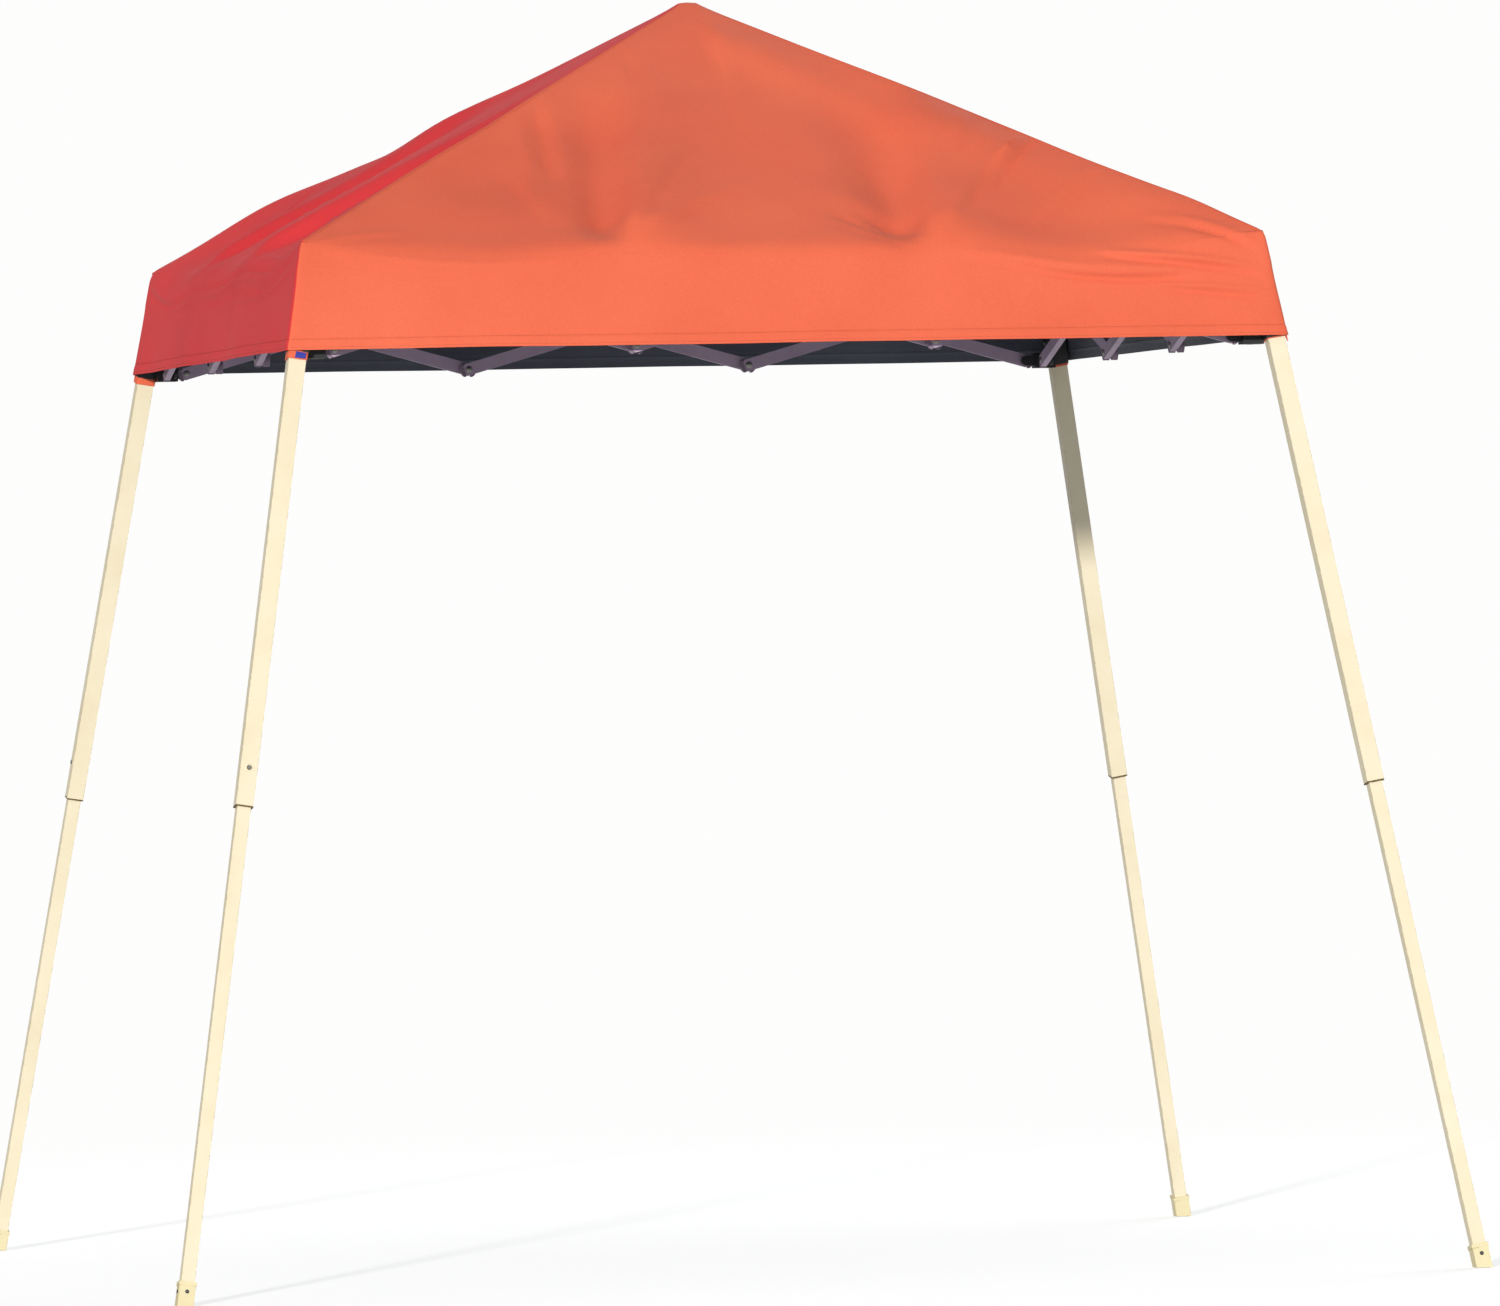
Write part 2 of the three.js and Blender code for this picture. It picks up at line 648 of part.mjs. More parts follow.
const CORNER_PIECES = [
  ["upper_leg", makeUpperLeg, CREAM_PAINT],
  ["lower_leg", makeLowerLeg, CREAM_PAINT],
  ["leg_button", makeButton, STEEL],
  ["foot_cap", makeFootCap, CREAM_PLASTIC],
  ["corner_bracket", makeBracket, BLACK_PLASTIC],
  ["slider", makeSlider, BLACK_PLASTIC],
  ["upper_rafter", makeUpperRafter, GREY_PAINT],
  ["lower_rafter", makeLowerRafter, GREY_PAINT],
];
for (const [piece, make, material] of CORNER_PIECES)
  addTurned(CORNERS.map((corner) => `${piece}_${corner}`), make(), material);

add("hub", geometryOf(makeHub()), BLACK_PLASTIC);
add("hub_cap", geometryOf(makeHubCap()), BLACK_PLASTIC);
add("canopy", geometryOf(makeCanopy()), CLOTH_LOOK);

export default root;
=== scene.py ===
# Looks for the slant-leg pop-up shelter. Metres, +Z up, front side towards -Y, origin on the floor under the peak.
import math

import bpy
import bmesh
import json
import numpy as np
from mathutils import Matrix, Vector

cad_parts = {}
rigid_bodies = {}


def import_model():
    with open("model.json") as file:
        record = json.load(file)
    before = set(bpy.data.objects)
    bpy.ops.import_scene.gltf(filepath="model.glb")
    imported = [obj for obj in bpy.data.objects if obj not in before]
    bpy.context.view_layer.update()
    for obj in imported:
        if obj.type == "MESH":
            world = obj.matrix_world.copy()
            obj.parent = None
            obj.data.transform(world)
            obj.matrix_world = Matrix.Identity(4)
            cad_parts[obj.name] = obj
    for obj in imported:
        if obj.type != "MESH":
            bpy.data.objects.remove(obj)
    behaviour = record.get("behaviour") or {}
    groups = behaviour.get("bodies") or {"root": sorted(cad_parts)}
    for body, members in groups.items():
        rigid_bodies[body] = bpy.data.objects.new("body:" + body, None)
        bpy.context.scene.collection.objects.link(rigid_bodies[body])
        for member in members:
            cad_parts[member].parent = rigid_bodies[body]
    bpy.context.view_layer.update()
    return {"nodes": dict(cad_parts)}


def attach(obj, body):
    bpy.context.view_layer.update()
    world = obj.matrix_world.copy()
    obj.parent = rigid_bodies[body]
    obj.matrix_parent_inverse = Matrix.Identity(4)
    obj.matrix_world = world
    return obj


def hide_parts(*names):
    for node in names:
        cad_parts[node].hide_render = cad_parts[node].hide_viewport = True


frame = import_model()

SIDES = ["front", "right", "back", "left"]
CORNERS = ["fl", "fr", "br", "bl"]

# ------------------------------------------------------------------ constants shared with the CAD (mm)
EAVE, EAVE_Z, PEAK_Z = 906.0, 1924.0, 2403.0
HEM_HALF, HEM_Z = 942.0, 1724.0
SLOPE = (PEAK_Z - EAVE_Z) / EAVE
ROOF_L = math.hypot(EAVE, PEAK_Z - EAVE_Z)  # 1025 up the middle of a panel
VAL_L = math.hypot(HEM_HALF - EAVE, EAVE_Z - HEM_Z)  # 203 down the valance
TRUSS_END, TRUSS_PLANE, LANE = 844.0, 880.0, 6.5
UP_Z, LOW_Z = 1882.0, 1724.0
FOOT, LEAN = 1206.0, 0.1675
FOLD_SHIFT, FOLD_RISE = 737.2, 428.0  # how far a corner bracket moves in (per axis) and up when folded


def smooth(x, a, b):
    t = np.clip((x - a) / (b - a), 0, 1)
    return t * t * (3 - 2 * t)


def turn(p, q):
    """A point or points turned q quarter turns about Z, from the front side's frame."""
    p = np.asarray(p, float)
    out = p.copy()
    for _ in range(q % 4):
        x, y = -out[..., 1].copy(), out[..., 0].copy()
        out[..., 0], out[..., 1] = x, y
    return out


# ------------------------------------------------------------------ materials
def new_mat(name):
    m = bpy.data.materials.new(name)
    m.use_nodes = True
    nt = m.node_tree
    bsdf = next(n for n in nt.nodes if n.type == "BSDF_PRINCIPLED")
    return m, nt, bsdf


def node(nt, kind, **values):
    n = nt.nodes.new(kind)
    for k, v in values.items():
        if k.startswith("in_"):
            key = k[3:].replace("_", " ")
            n.inputs[int(k[3:]) if k[3:].isdigit() else key].default_value = v
        else:
            setattr(n, k, v)
    return n


def srgb(r, g, b):
    f = lambda c: (c / 255 / 12.92) if c / 255 <= 0.04045 else ((c / 255 + 0.055) / 1.055) ** 2.4
    return (f(r), f(g), f(b), 1.0)


def ramp(nt, fac, stops):
    r = nt.nodes.new("ShaderNodeValToRGB")
    while len(r.color_ramp.elements) < len(stops):
        r.color_ramp.elements.new(0.5)
    for e, (pos, col) in zip(r.color_ramp.elements, stops):
        e.position, e.color = pos, col
    nt.links.new(fac, r.inputs["Fac"])
    return r


def coat(name, base, dark, rough=0.4, grain=900.0, bump=0.05, wear=None, spec=0.5, metal=0.0):
    """Powder coat or moulded plastic: slight tone drift, fine orange peel, worn or grimy edges."""
    m, nt, b = new_mat(name)
    L = nt.links.new
    tc = node(nt, "ShaderNodeTexCoord")
    drift = node(nt, "ShaderNodeTexNoise", in_Scale=7.0, in_Detail=5.0, in_Roughness=0.6)
    L(tc.outputs["Object"], drift.inputs["Vector"])
    col = ramp(nt, drift.outputs["Fac"], [(0.30, dark), (0.62, base), (1.0, base)])
    out = col.outputs["Color"]
    if wear is not None:
        geo = node(nt, "ShaderNodeNewGeometry")
        bev = node(nt, "ShaderNodeBevel", samples=4)
        bev.inputs["Radius"].default_value = 0.0022
        dot = node(nt, "ShaderNodeVectorMath", operation="DOT_PRODUCT")
        L(geo.outputs["Normal"], dot.inputs[0])
        L(bev.outputs["Normal"], dot.inputs[1])
        nz = node(nt, "ShaderNodeTexNoise", in_Scale=60.0, in_Detail=4.0)
        L(tc.outputs["Object"], nz.inputs["Vector"])
        inv = node(nt, "ShaderNodeMath", operation="SUBTRACT")
        inv.inputs[0].default_value = 1.0
        L(dot.outputs["Value"], inv.inputs[1])
        mul = node(nt, "ShaderNodeMath", operation="MULTIPLY", use_clamp=True)
        L(inv.outputs[0], mul.inputs[0])
        mul.inputs[1].default_value = 9.0
        m2 = node(nt, "ShaderNodeMath", operation="MULTIPLY", use_clamp=True)
        L(mul.outputs[0], m2.inputs[0])
        edge = ramp(nt, nz.outputs["Fac"], [(0.45, (0, 0, 0, 1)), (0.62, (1, 1, 1, 1))])
        L(edge.outputs["Color"], m2.inputs[1])
        mix = node(nt, "ShaderNodeMix", data_type="RGBA")
        L(m2.outputs[0], mix.inputs["Factor"])
        L(out, mix.inputs["A"])
        mix.inputs["B"].default_value = wear
        out = mix.outputs["Result"]
    L(out, b.inputs["Base Color"])
    b.inputs["Base Color"].default_value = base
    b.inputs["Metallic"].default_value = metal
    b.inputs["Specular IOR Level"].default_value = spec
    rn = node(nt, "ShaderNodeTexNoise", in_Scale=24.0, in_Detail=4.0)
    L(tc.outputs["Object"], rn.inputs["Vector"])
    rr = node(nt, "ShaderNodeMapRange", in_3=rough - 0.07, in_4=rough + 0.09)
    L(rn.outputs["Fac"], rr.inputs[0])
    L(rr.outputs[0], b.inputs["Roughness"])
    peel = node(nt, "ShaderNodeTexNoise", in_Scale=grain, in_Detail=2.0)
    L(tc.outputs["Object"], peel.inputs["Vector"])
    bp = node(nt, "ShaderNodeBump", in_Strength=bump, in_Distance=0.0006)
    L(peel.outputs["Fac"], bp.inputs["Height"])
    L(bp.outputs["Normal"], b.inputs["Normal"])
    return m


def cloth_mat(name, base, deep, light, weave=0.0011, rough=0.9, sheen=0.04, coated=False):
    """Plain-weave polyester: two crossed yarn waves, slub noise, soft tone drift and faint creasing."""
    m, nt, b = new_mat(name)
    L = nt.links.new
    tc = node(nt, "ShaderNodeTexCoord")
    big = node(nt, "ShaderNodeTexNoise", in_Scale=2.2, in_Detail=5.0, in_Roughness=0.55)
    L(tc.outputs["Object"], big.inputs["Vector"])
    col = ramp(nt, big.outputs["Fac"], [(0.28, deep), (0.52, base), (0.78, light)])
    mott = node(nt, "ShaderNodeTexNoise", in_Scale=260.0, in_Detail=3.0, in_Roughness=0.7)
    L(tc.outputs["Object"], mott.inputs["Vector"])
    mr = node(nt, "ShaderNodeMapRange", in_3=0.885, in_4=1.11)
    L(mott.outputs["Fac"], mr.inputs[0])
    mul = node(nt, "ShaderNodeVectorMath", operation="SCALE")
    L(col.outputs["Color"], mul.inputs[0])
    L(mr.outputs[0], mul.inputs["Scale"])
    out = mul.outputs[0]
    L(out, b.inputs["Base Color"])
    b.inputs["Base Color"].default_value = base
    b.inputs["Roughness"].default_value = rough
    b.inputs["Sheen Weight"].default_value = sheen
    b.inputs["Sheen Roughness"].default_value = 0.45
    b.inputs["Specular IOR Level"].default_value = 0.4 if coated else 0.12
    scale = 2 * math.pi / weave / (2 * math.pi) * 0.5
    waves = []
    for axis in ("X", "Y", "Z"):
        w = node(nt, "ShaderNodeTexWave", wave_type="BANDS", bands_direction=axis, in_Scale=scale / 3.2, in_Distortion=0.35)
        L(tc.outputs["Object"], w.inputs["Vector"])
        waves.append(w)
    add1 = node(nt, "ShaderNodeMath", operation="ADD")
    L(waves[0].outputs["Fac"], add1.inputs[0])
    L(waves[1].outputs["Fac"], add1.inputs[1])
    add2 = node(nt, "ShaderNodeMath", operation="ADD")
    L(add1.outputs[0], add2.inputs[0])
    L(waves[2].outputs["Fac"], add2.inputs[1])
    b1 = node(nt, "ShaderNodeBump", in_Strength=0.30, in_Distance=0.00035)
    L(add2.outputs[0], b1.inputs["Height"])
    # shallow handling creases
    cr = node(nt, "ShaderNodeTexNoise", in_Scale=5.0, in_Detail=7.0, in_Roughness=0.55, in_Distortion=0.6)
    cr.noise_type = "RIDGED_MULTIFRACTAL"
    L(tc.outputs["Object"], cr.inputs["Vector"])
    b2 = node(nt, "ShaderNodeBump", in_Strength=0.10, in_Distance=0.004)
    L(cr.outputs["Fac"], b2.inputs["Height"])
    L(b1.outputs["Normal"], b2.inputs["Normal"])
    L(b2.outputs["Normal"], b.inputs["Normal"])
    return m


M_TOP = cloth_mat("canopy_terracotta", srgb(224, 105, 76), srgb(216, 97, 71), srgb(230, 111, 81))
# painted shade: the left side panel gets a darker, redder copy of the terracotta, the look of the shaded side painted
# into its colour
M_TOP_LEFT_PAINTED_SHADE = cloth_mat("canopy_terracotta_left_painted_shade", srgb(216, 57, 61), srgb(208, 51, 57), srgb(222, 63, 65))
M_SEAM = cloth_mat("seam_tape", srgb(216, 98, 70), srgb(205, 88, 64), srgb(224, 105, 76))
# painted shade: the seam tape's darker, redder copy for the left side panel
M_SEAM_LEFT_PAINTED_SHADE = cloth_mat("seam_tape_left_painted_shade", srgb(206, 63, 57), srgb(196, 57, 53), srgb(212, 69, 61))
M_UNDER = cloth_mat(
    "canopy_slate_coating", srgb(82, 87, 99), srgb(68, 73, 84), srgb(94, 99, 112), sheen=0.05, rough=0.6, coated=True
)
M_THREAD = coat("orange_thread", srgb(160, 58, 42), srgb(136, 48, 36), rough=0.7, grain=2500, bump=0.2)
M_LEG = coat("cream_powder_coat", srgb(231, 221, 194), srgb(225, 213, 182), rough=0.42, grain=650, bump=0.10,
             wear=srgb(176, 163, 124), spec=0.3)
M_BAR = coat("mauve_powder_coat", srgb(192, 168, 194), srgb(172, 150, 174), rough=0.40, grain=650, bump=0.10,
             wear=srgb(206, 192, 208))
M_BLACK = coat("black_nylon", srgb(34, 34, 37), srgb(24, 24, 27), rough=0.48, grain=380, bump=0.22,
               wear=srgb(78, 78, 82))
M_FOOT = coat("foot_plastic", srgb(226, 216, 176), srgb(216, 203, 160), rough=0.5, grain=420, bump=0.15,
              wear=srgb(178, 160, 108))
M_PLUG = coat("plum_grey_plastic", srgb(142, 122, 144), srgb(116, 100, 118), rough=0.45, grain=380, bump=0.18,
              wear=srgb(170, 152, 172))
M_STEEL = coat("zinc_steel", srgb(176, 174, 168), srgb(140, 138, 134), rough=0.34, grain=900, bump=0.08, metal=1.0)
M_BUSH = coat("bushing_brown", srgb(112, 88, 44), srgb(80, 60, 30), rough=0.55, grain=420, bump=0.15)
M_BLUE = coat("blue_bar_tack", srgb(52, 60, 168), srgb(40, 46, 140), rough=0.75, grain=2200, bump=0.4)


# ------------------------------------------------------------------ mesh helpers
def mesh_obj(name, verts, faces, mats, slots=None, smooth_shade=True):
    me = bpy.data.meshes.new(name)
    me.from_pydata([tuple(map(float, v)) for v in verts], [], [tuple(int(i) for i in f) for f in faces])
    for m in mats:
        me.materials.append(m)
    if slots is not None:
        me.polygons.foreach_set("material_index", np.asarray(slots, np.int32))
    if smooth_shade:
        me.polygons.foreach_set("use_smooth", np.ones(len(me.polygons), bool))
    me.update()
    o = bpy.data.objects.new(name, me)
    bpy.context.scene.collection.objects.link(o)
    return o


def sharp_by_angle(o, deg=35):
    me = o.data
    bm = bmesh.new()
    bm.from_mesh(me)
    for e in bm.edges:
        if len(e.link_faces) == 2 and e.calc_face_angle(0) > math.radians(deg):
            e.smooth = False
    bm.to_mesh(me)
    bm.free()


def bevel(o, width, segments=2, angle=30):
    m = o.modifiers.new("rounding", "BEVEL")
    m.width, m.segments, m.limit_method, m.angle_limit = width, segments, "ANGLE", math.radians(angle)
    m.harden_normals = False
    m.use_clamp_overlap = True
    return m


class Build:
    """Collects closed shapes, each from a local frame, into one mesh (metres)."""

    def __init__(self):
        self.v, self.f, self.s = [], [], []

    def add(self, verts, faces, slot=0):
        k = len(self.v)
        self.v += [tuple(p) for p in np.asarray(verts, float)]
        self.f += [tuple(i + k for i in f) for f in faces]
        self.s += [slot] * len(faces)

    def lathe(self, profile, origin, axis, n=20, slot=0):
        """profile: (radius, along) pairs from the axis to the axis, turned about axis through origin. mm."""
        axis = np.asarray(axis, float) / np.linalg.norm(axis)
        u = np.cross(axis, [0.123, 0.456, 0.878])
        u /= np.linalg.norm(u)
        w = np.cross(axis, u)
        o = np.asarray(origin, float)
        verts, rings = [], []
        for r, z in profile:
            if r < 1e-6:
                rings.append([len(verts)])
                verts.append(o + axis * z)
            else:
                rings.append(list(range(len(verts), len(verts) + n)))
                verts += [o + axis * z + r * (u * math.cos(t) + w * math.sin(t)) for t in np.arange(n) * 2 * math.pi / n]
        faces = []
        for a, b in zip(rings, rings[1:]):
            for i in range(n):
                j = (i + 1) % n
                if len(a) == 1 and len(b) == 1:
                    continue
                if len(a) == 1:
                    faces.append((a[0], b[j], b[i])[::-1])
                elif len(b) == 1:
                    faces.append((a[i], a[j], b[0]))
                else:
                    faces.append((a[i], a[j], b[j], b[i]))
        self.add(np.array(verts) / 1000, faces, slot)

    def extrude(self, outline, hole, origin, u, v, w, t0, t1, slot=0):
        """outline (and an optional hole with as many points) in u, v, run along w. mm."""
        o, u, v, w = (np.asarray(x, float) for x in (origin, u, v, w))
        n = len(outline)
        P = lambda pts, t: [o + u * a + v * b + w * t for a, b in pts]
        if hole is None:
            verts = P(outline, t0) + P(outline, t1)
            faces = [tuple(range(n))[::-1], tuple(range(n, 2 * n))]
            faces += [(i, (i + 1) % n, n + (i + 1) % n, n + i) for i in range(n)]
        else:
            verts = P(outline, t0) + P(outline, t1) + P(hole, t0) + P(hole, t1)
            faces = []
            for i in range(n):
                j = (i + 1) % n
                faces += [(i, j, n + j, n + i), (2 * n + j, 2 * n + i, 3 * n + i, 3 * n + j)]
                faces += [(j, i, 2 * n + i, 2 * n + j), (n + i, n + j, 3 * n + j, 3 * n + i)]
        self.add(np.array(verts) / 1000, faces, slot)

    def make(self, name, mats, bev=None, seg=2):
        o = mesh_obj(name, self.v, self.f, mats, self.s)
        bm = bmesh.new()
        bm.from_mesh(o.data)
        bmesh.ops.recalc_face_normals(bm, faces=bm.faces)
        bm.to_mesh(o.data)
        bm.free()
        sharp_by_angle(o)
        if bev:
            bevel(o, bev, seg)
        return o


def rounded(w, h, r, k=4):
    """Rounded rectangle outline, half sizes w and h."""
    pts = []
    for cx, cy, a0 in ((w - r, h - r, 0), (-(w - r), h - r, 90), (-(w - r), -(h - r), 180), (w - r, -(h - r), 270)):
        for i in range(k + 1):
            a = math.radians(a0 + 90 * i / k)
            pts.append((cx + r * math.cos(a), cy + r * math.sin(a)))
    return pts


# ------------------------------------------------------------------ canopy: one sewn sheet
N = 150  # roof grid cells across
BANDS = np.concatenate([np.arange(0, 64, 4.0), np.arange(64, 135, 5.0), np.arange(135, 175, 8.0),
                        [178.5, 181.5, 183, 184.5, 187.5, 194, 199, VAL_L - 0.6, VAL_L]])  # distances down the valance


def spread(n):
    """Grid stations from -1 to 1, closer together towards the eave, where the folds are."""
    t = np.linspace(-1, 1, n + 1)
    return np.sign(t) * (1.30 * np.abs(t) - 0.30 * np.abs(t) ** 3.0)


GRID = spread(N)


def crease(points, width, height, a, b, back=0.55, taper=0.6):
    """A fold: a ridge along a curve through the points (a, b in mm) with a valley beside it."""
    pts = np.array(points, float)
    t = np.linspace(0, 1, 15)
    if len(pts) == 2:
        c = pts[0] + (pts[1] - pts[0]) * t[:, None]
    else:
        c = (1 - t)[:, None] ** 2 * pts[0] + 2 * ((1 - t) * t)[:, None] * pts[1] + t[:, None] ** 2 * pts[2]
    best = np.full(a.shape, 1e9)
    side = np.zeros(a.shape)
    where = np.zeros(a.shape)
    for i in range(len(c) - 1):
        d = c[i + 1] - c[i]
        l2 = d @ d
        s = np.clip(((a - c[i, 0]) * d[0] + (b - c[i, 1]) * d[1]) / l2, 0, 1)
        ex, ey = a - c[i, 0] - s * d[0], b - c[i, 1] - s * d[1]
        dist = np.hypot(ex, ey)
        near = dist < best
        best = np.where(near, dist, best)
        side = np.where(near, np.sign(ex * d[1] - ey * d[0]) * dist, side)
        where = np.where(near, (i + s) / (len(c) - 1), where)
    fade = np.sin(np.clip(where, 0.001, 0.999) * math.pi) ** taper
    return height * fade * (np.exp(-((side / width) ** 2)) - back * np.exp(-(((side - 1.7 * width) / (1.1 * width)) ** 2)))


JOINTS = [-TRUSS_END / 3, TRUSS_END / 3]  # upper truss joints that prop the cloth, along a side
SUPPORTS = [-906.0, JOINTS[0], JOINTS[1], 906.0]


def eave_drop(a, q):
    """How far the eave sags between the corners and over the truss joints, mm."""
    joint = {0: (13, 15), 1: (14, 12), 2: (12, 15), 3: (13, 14)}[q]
    deep = {0: (14, 5, 22), 1: (20, 8, 14), 2: (16, 7, 19), 3: (14, 9, 18)}[q]
    t = np.clip((np.abs(a) - 281) / (906 - 281), 0, 1)
    out = np.where(a < 0, joint[0], joint[1]) * (1 - t ** 1.7)
    mid = 0.5 + np.clip(a, -281, 281) / 562
    out = np.where(np.abs(a) < 281, joint[0] * (1 - mid) + joint[1] * mid, out)
    for lo, hi, d in zip(SUPPORTS, SUPPORTS[1:], deep):
        u = np.clip((a - lo) / (hi - lo), 0, 1)
        out = out + d * np.sin(np.pi * u) ** 2
    return out


def pole(a, b, foot, lean, side=1.0, tall=16.0, hollow=13.0):
    """A tent-pole rise over a truss joint: steep and narrow on one side with a hollow beyond it, long on the other."""
    up = np.clip(b, 0, None)
    da = side * (a - (foot + lean * b))
    w1 = 25 + 0.035 * up
    w2 = 92 + 0.12 * up
    ridge = np.where(da < 0, np.exp(-((da / w1) ** 2)), np.exp(-((da / w2) ** 2)))
    out = tall * np.exp(-up / 560) * smooth(b, -12, 90) * ridge
    dv = da + 62 + 0.05 * up
    out -= hollow * smooth(b, -5, 130) * (1 - smooth(b, 420, 720)) * np.exp(-((dv / (34 + 0.05 * up)) ** 2))
    return out


def hollow_at(a, b, ca, cb, ra, rb, depth, skew=0.0):
    x = (a - ca) - skew * (b - cb)
    return -depth * np.exp(-((x / ra) ** 2) - ((b - cb) / rb) ** 2)


def folds(q, a, b):
    """Displacement off the panel, outwards, mm. a along the side, b up the roof from the eave (negative down the valance)."""
    D = np.zeros_like(a)
    rho = np.clip(1 - b / ROOF_L, 0, 1)
    to_hip = np.clip(rho * 906 - np.abs(a), 0, None)
    roof = smooth(b, -10, 40)
    # the panel hangs slightly hollow between the hips and the props
    D -= roof * 9 * (1 - np.exp(-to_hip / 150)) * smooth(b, 0, 300) * (1 - 0.75 * smooth(b, 560, 1020))
    drop = eave_drop(a, q)
    # slack above the eave between props: a hollow, then the cloth rolls over the edge
    D -= (2 + drop * 0.16) * np.exp(-(((b - 88) / 62) ** 2)) * smooth(to_hip, 20, 160)
    D += drop * 0.12 * np.exp(-(((b + 34) / 30) ** 2))
    # hem stays nearly flat, with a slow ripple
    D += 2.4 * np.sin(a / 118 + 1.3 * q) * smooth(-b, 40, 190)
    D += 1.1 * np.sin(a / 47 + 2.1 * q + 0.5) * smooth(-b, 90, 200)
    # broad, weak unevenness everywhere
    D += 2.2 * np.sin(a / 83 + b / 131 + 1.7 * q) * np.sin(b / 97 - a / 211 + q) * roof
    C = lambda pts, w, h, **k: crease(pts, w, h, a, b, **k)
    if q in (0, 2):
        m = 1 if q == 0 else -1  # the back has its own, mirrored and eased
        e = 1.0 if q == 0 else 0.8
        S = lambda pts: [(m * x, y) for x, y in pts]
        am = m * a
        D += e * pole(am, b, -280, 0.19, 1.0, 34, 24)
        D += e * pole(am, b, 282, 0.17, 1.0, 32, 15)
        # left of the left prop: a crisp crease, a low second ridge, then the hollow
        D += e * C(S([(-366, 600), (-372, 430), (-384, 250)]), 11, -13.0, back=-0.75)
        D += e * hollow_at(am, b, -489, 330, 110, 170, 12)
        D += e * C(S([(-452, 330), (-436, 220), (-402, 90)]), 16, 3.2)
        # right of it: streaks that fan up and to the right
        D += e * C(S([(-288, 50), (-215, 200), (-130, 380)]), 12, 8.0)
        D += e * C(S([(-262, 40), (-150, 140), (-40, 250)]), 13, 5.0)
        D += e * C(S([(-160, 640), (-152, 730), (-168, 810)]), 10, -5.5)
        D += e * C(S([(30, 880), (22, 660), (14, 420)]), 9, 4.0)
        # left of the right prop: a broad dark hollow and a lens that runs down to the joint
        D += e * hollow_at(am, b, 226, 310, 64, 300, 17, skew=-0.05)
        D += e * hollow_at(am, b, 190, 104, 74, 58, 12, skew=-0.9)
        D += e * C(S([(128, 150), (190, 80), (262, 12)]), 10, 6.5)
        D += e * C(S([(92, 118), (170, 56), (250, -4)]), 9, 4.6)
        # right of it: thin diagonal creases
        D += e * C(S([(322, 60), (372, 190), (452, 330)]), 11, 10.5)
        D += e * C(S([(392, 170), (462, 290), (530, 400)]), 10, 11.5)
        D += e * C(S([(424, 262), (500, 360), (590, 456)]), 10, 10.5)
        D += e * C(S([(372, 330), (420, 440), (462, 560)]), 10, 5.5)
        D += e * C(S([(505, 118), (590, 220), (668, 322)]), 11, 7.0)
        # the cloth stands full beside the right hip, and falls to it
        D += e * 12 * np.exp(-(((to_hip - 140) / 85) ** 2)) * (am > 0) * smooth(b, 130, 420) * (1 - smooth(b, 800, 1005))
        # swag above the eave and the folds that run into the right corner
        D += e * C(S([(330, -18), (560, -30), (770, -62)]), 13, 5.0, back=0.7)
        D += e * C(S([(585, 6), (720, -26), (912, -86)]), 8, 6.4, back=0.9)
        D += e * C(S([(470, -40), (620, -60), (740, -66)]), 8, 3.6, back=0.8)
        D += e * C(S([(676, -88), (790, -108), (918, -124)]), 7, 4.8, back=0.9)
        D += e * C(S([(770, -156), (850, -162), (926, -172)]), 6, 3.4, back=0.9)
        D += e * C(S([(770, 62), (842, 2), (902, -40)]), 8, 5.6, back=0.9)
        D += e * C(S([(690, 96), (780, 60), (884, -8)]), 9, 4.0, back=0.8)
        D += e * C(S([(-892, -14), (-700, -30), (-420, -22)]), 12, 3.6, back=0.7)
        D += e * C(S([(-880, 4), (-800, 30), (-690, 66)]), 8, 3.0)
    else:
        m = 1 if q == 3 else -1
        S = lambda pts: [(m * x, y) for x, y in pts]
        am = m * a
        D += pole(am, b, 282, -0.10, -1.0, 22, 15)
        D += pole(am, b, -279, -0.14, -1.0, 20, 14)
        # long folds run from the front corner along the eave
        D += C(S([(893, -12), (400, -30), (-520, -66)]), 9, 6.5, back=0.9)
        D += C(S([(895, -40), (520, -86), (-120, -88)]), 9, 4.6, back=0.8)
        D += C(S([(880, 8), (640, 34), (330, 18)]), 9, 4.4, back=0.8)
        D += C(S([(-892, -20), (-700, -44), (-460, -40)]), 9, 4.2, back=0.8)
        D += C(S([(-180, -60), (-420, -74), (-600, -70)]), 7, 3.4, back=0.8)
        D += C(S([(330, 70), (420, 240), (520, 380)]), 10, 4.6)
        D += C(S([(390, 60), (470, 160), (590, 262)]), 9, 3.8)
        D += C(S([(-250, 70), (-190, 220), (-120, 360)]), 10, 3.8)
        D += C(S([(-420, 120), (-520, 240), (-600, 320)]), 10, 3.8)
        D += C(S([(60, 150), (40, 360), (30, 620)]), 10, 3.0)
        D += hollow_at(am, b, 480, 330, 110, 170, 6)
    return D


def hip_wave(corner, t):
    """Lift of a hip, mm, t = 0 at the eave corner to 1 at the peak: the cloth bellies between the rafters' knee and ends."""
    g = lambda c, w: np.exp(-(((t - c) / w) ** 2))
    if corner == 3:
        return 17 * g(0.22, 0.12) - 5 * g(0.455, 0.05) + 8 * g(0.58, 0.09)
    if corner == 0:
        return 2.0 * g(0.3, 0.12) - 1.5 * g(0.47, 0.06)
    if corner == 1:
        return -4.0 * g(0.0, 0.07) + 2.5 * g(0.12, 0.05) - 2.0 * g(0.30, 0.08) + 2.5 * g(0.6, 0.12)
    return 7 * g(0.24, 0.12) - 3 * g(0.46, 0.06) + 4 * g(0.62, 0.1)


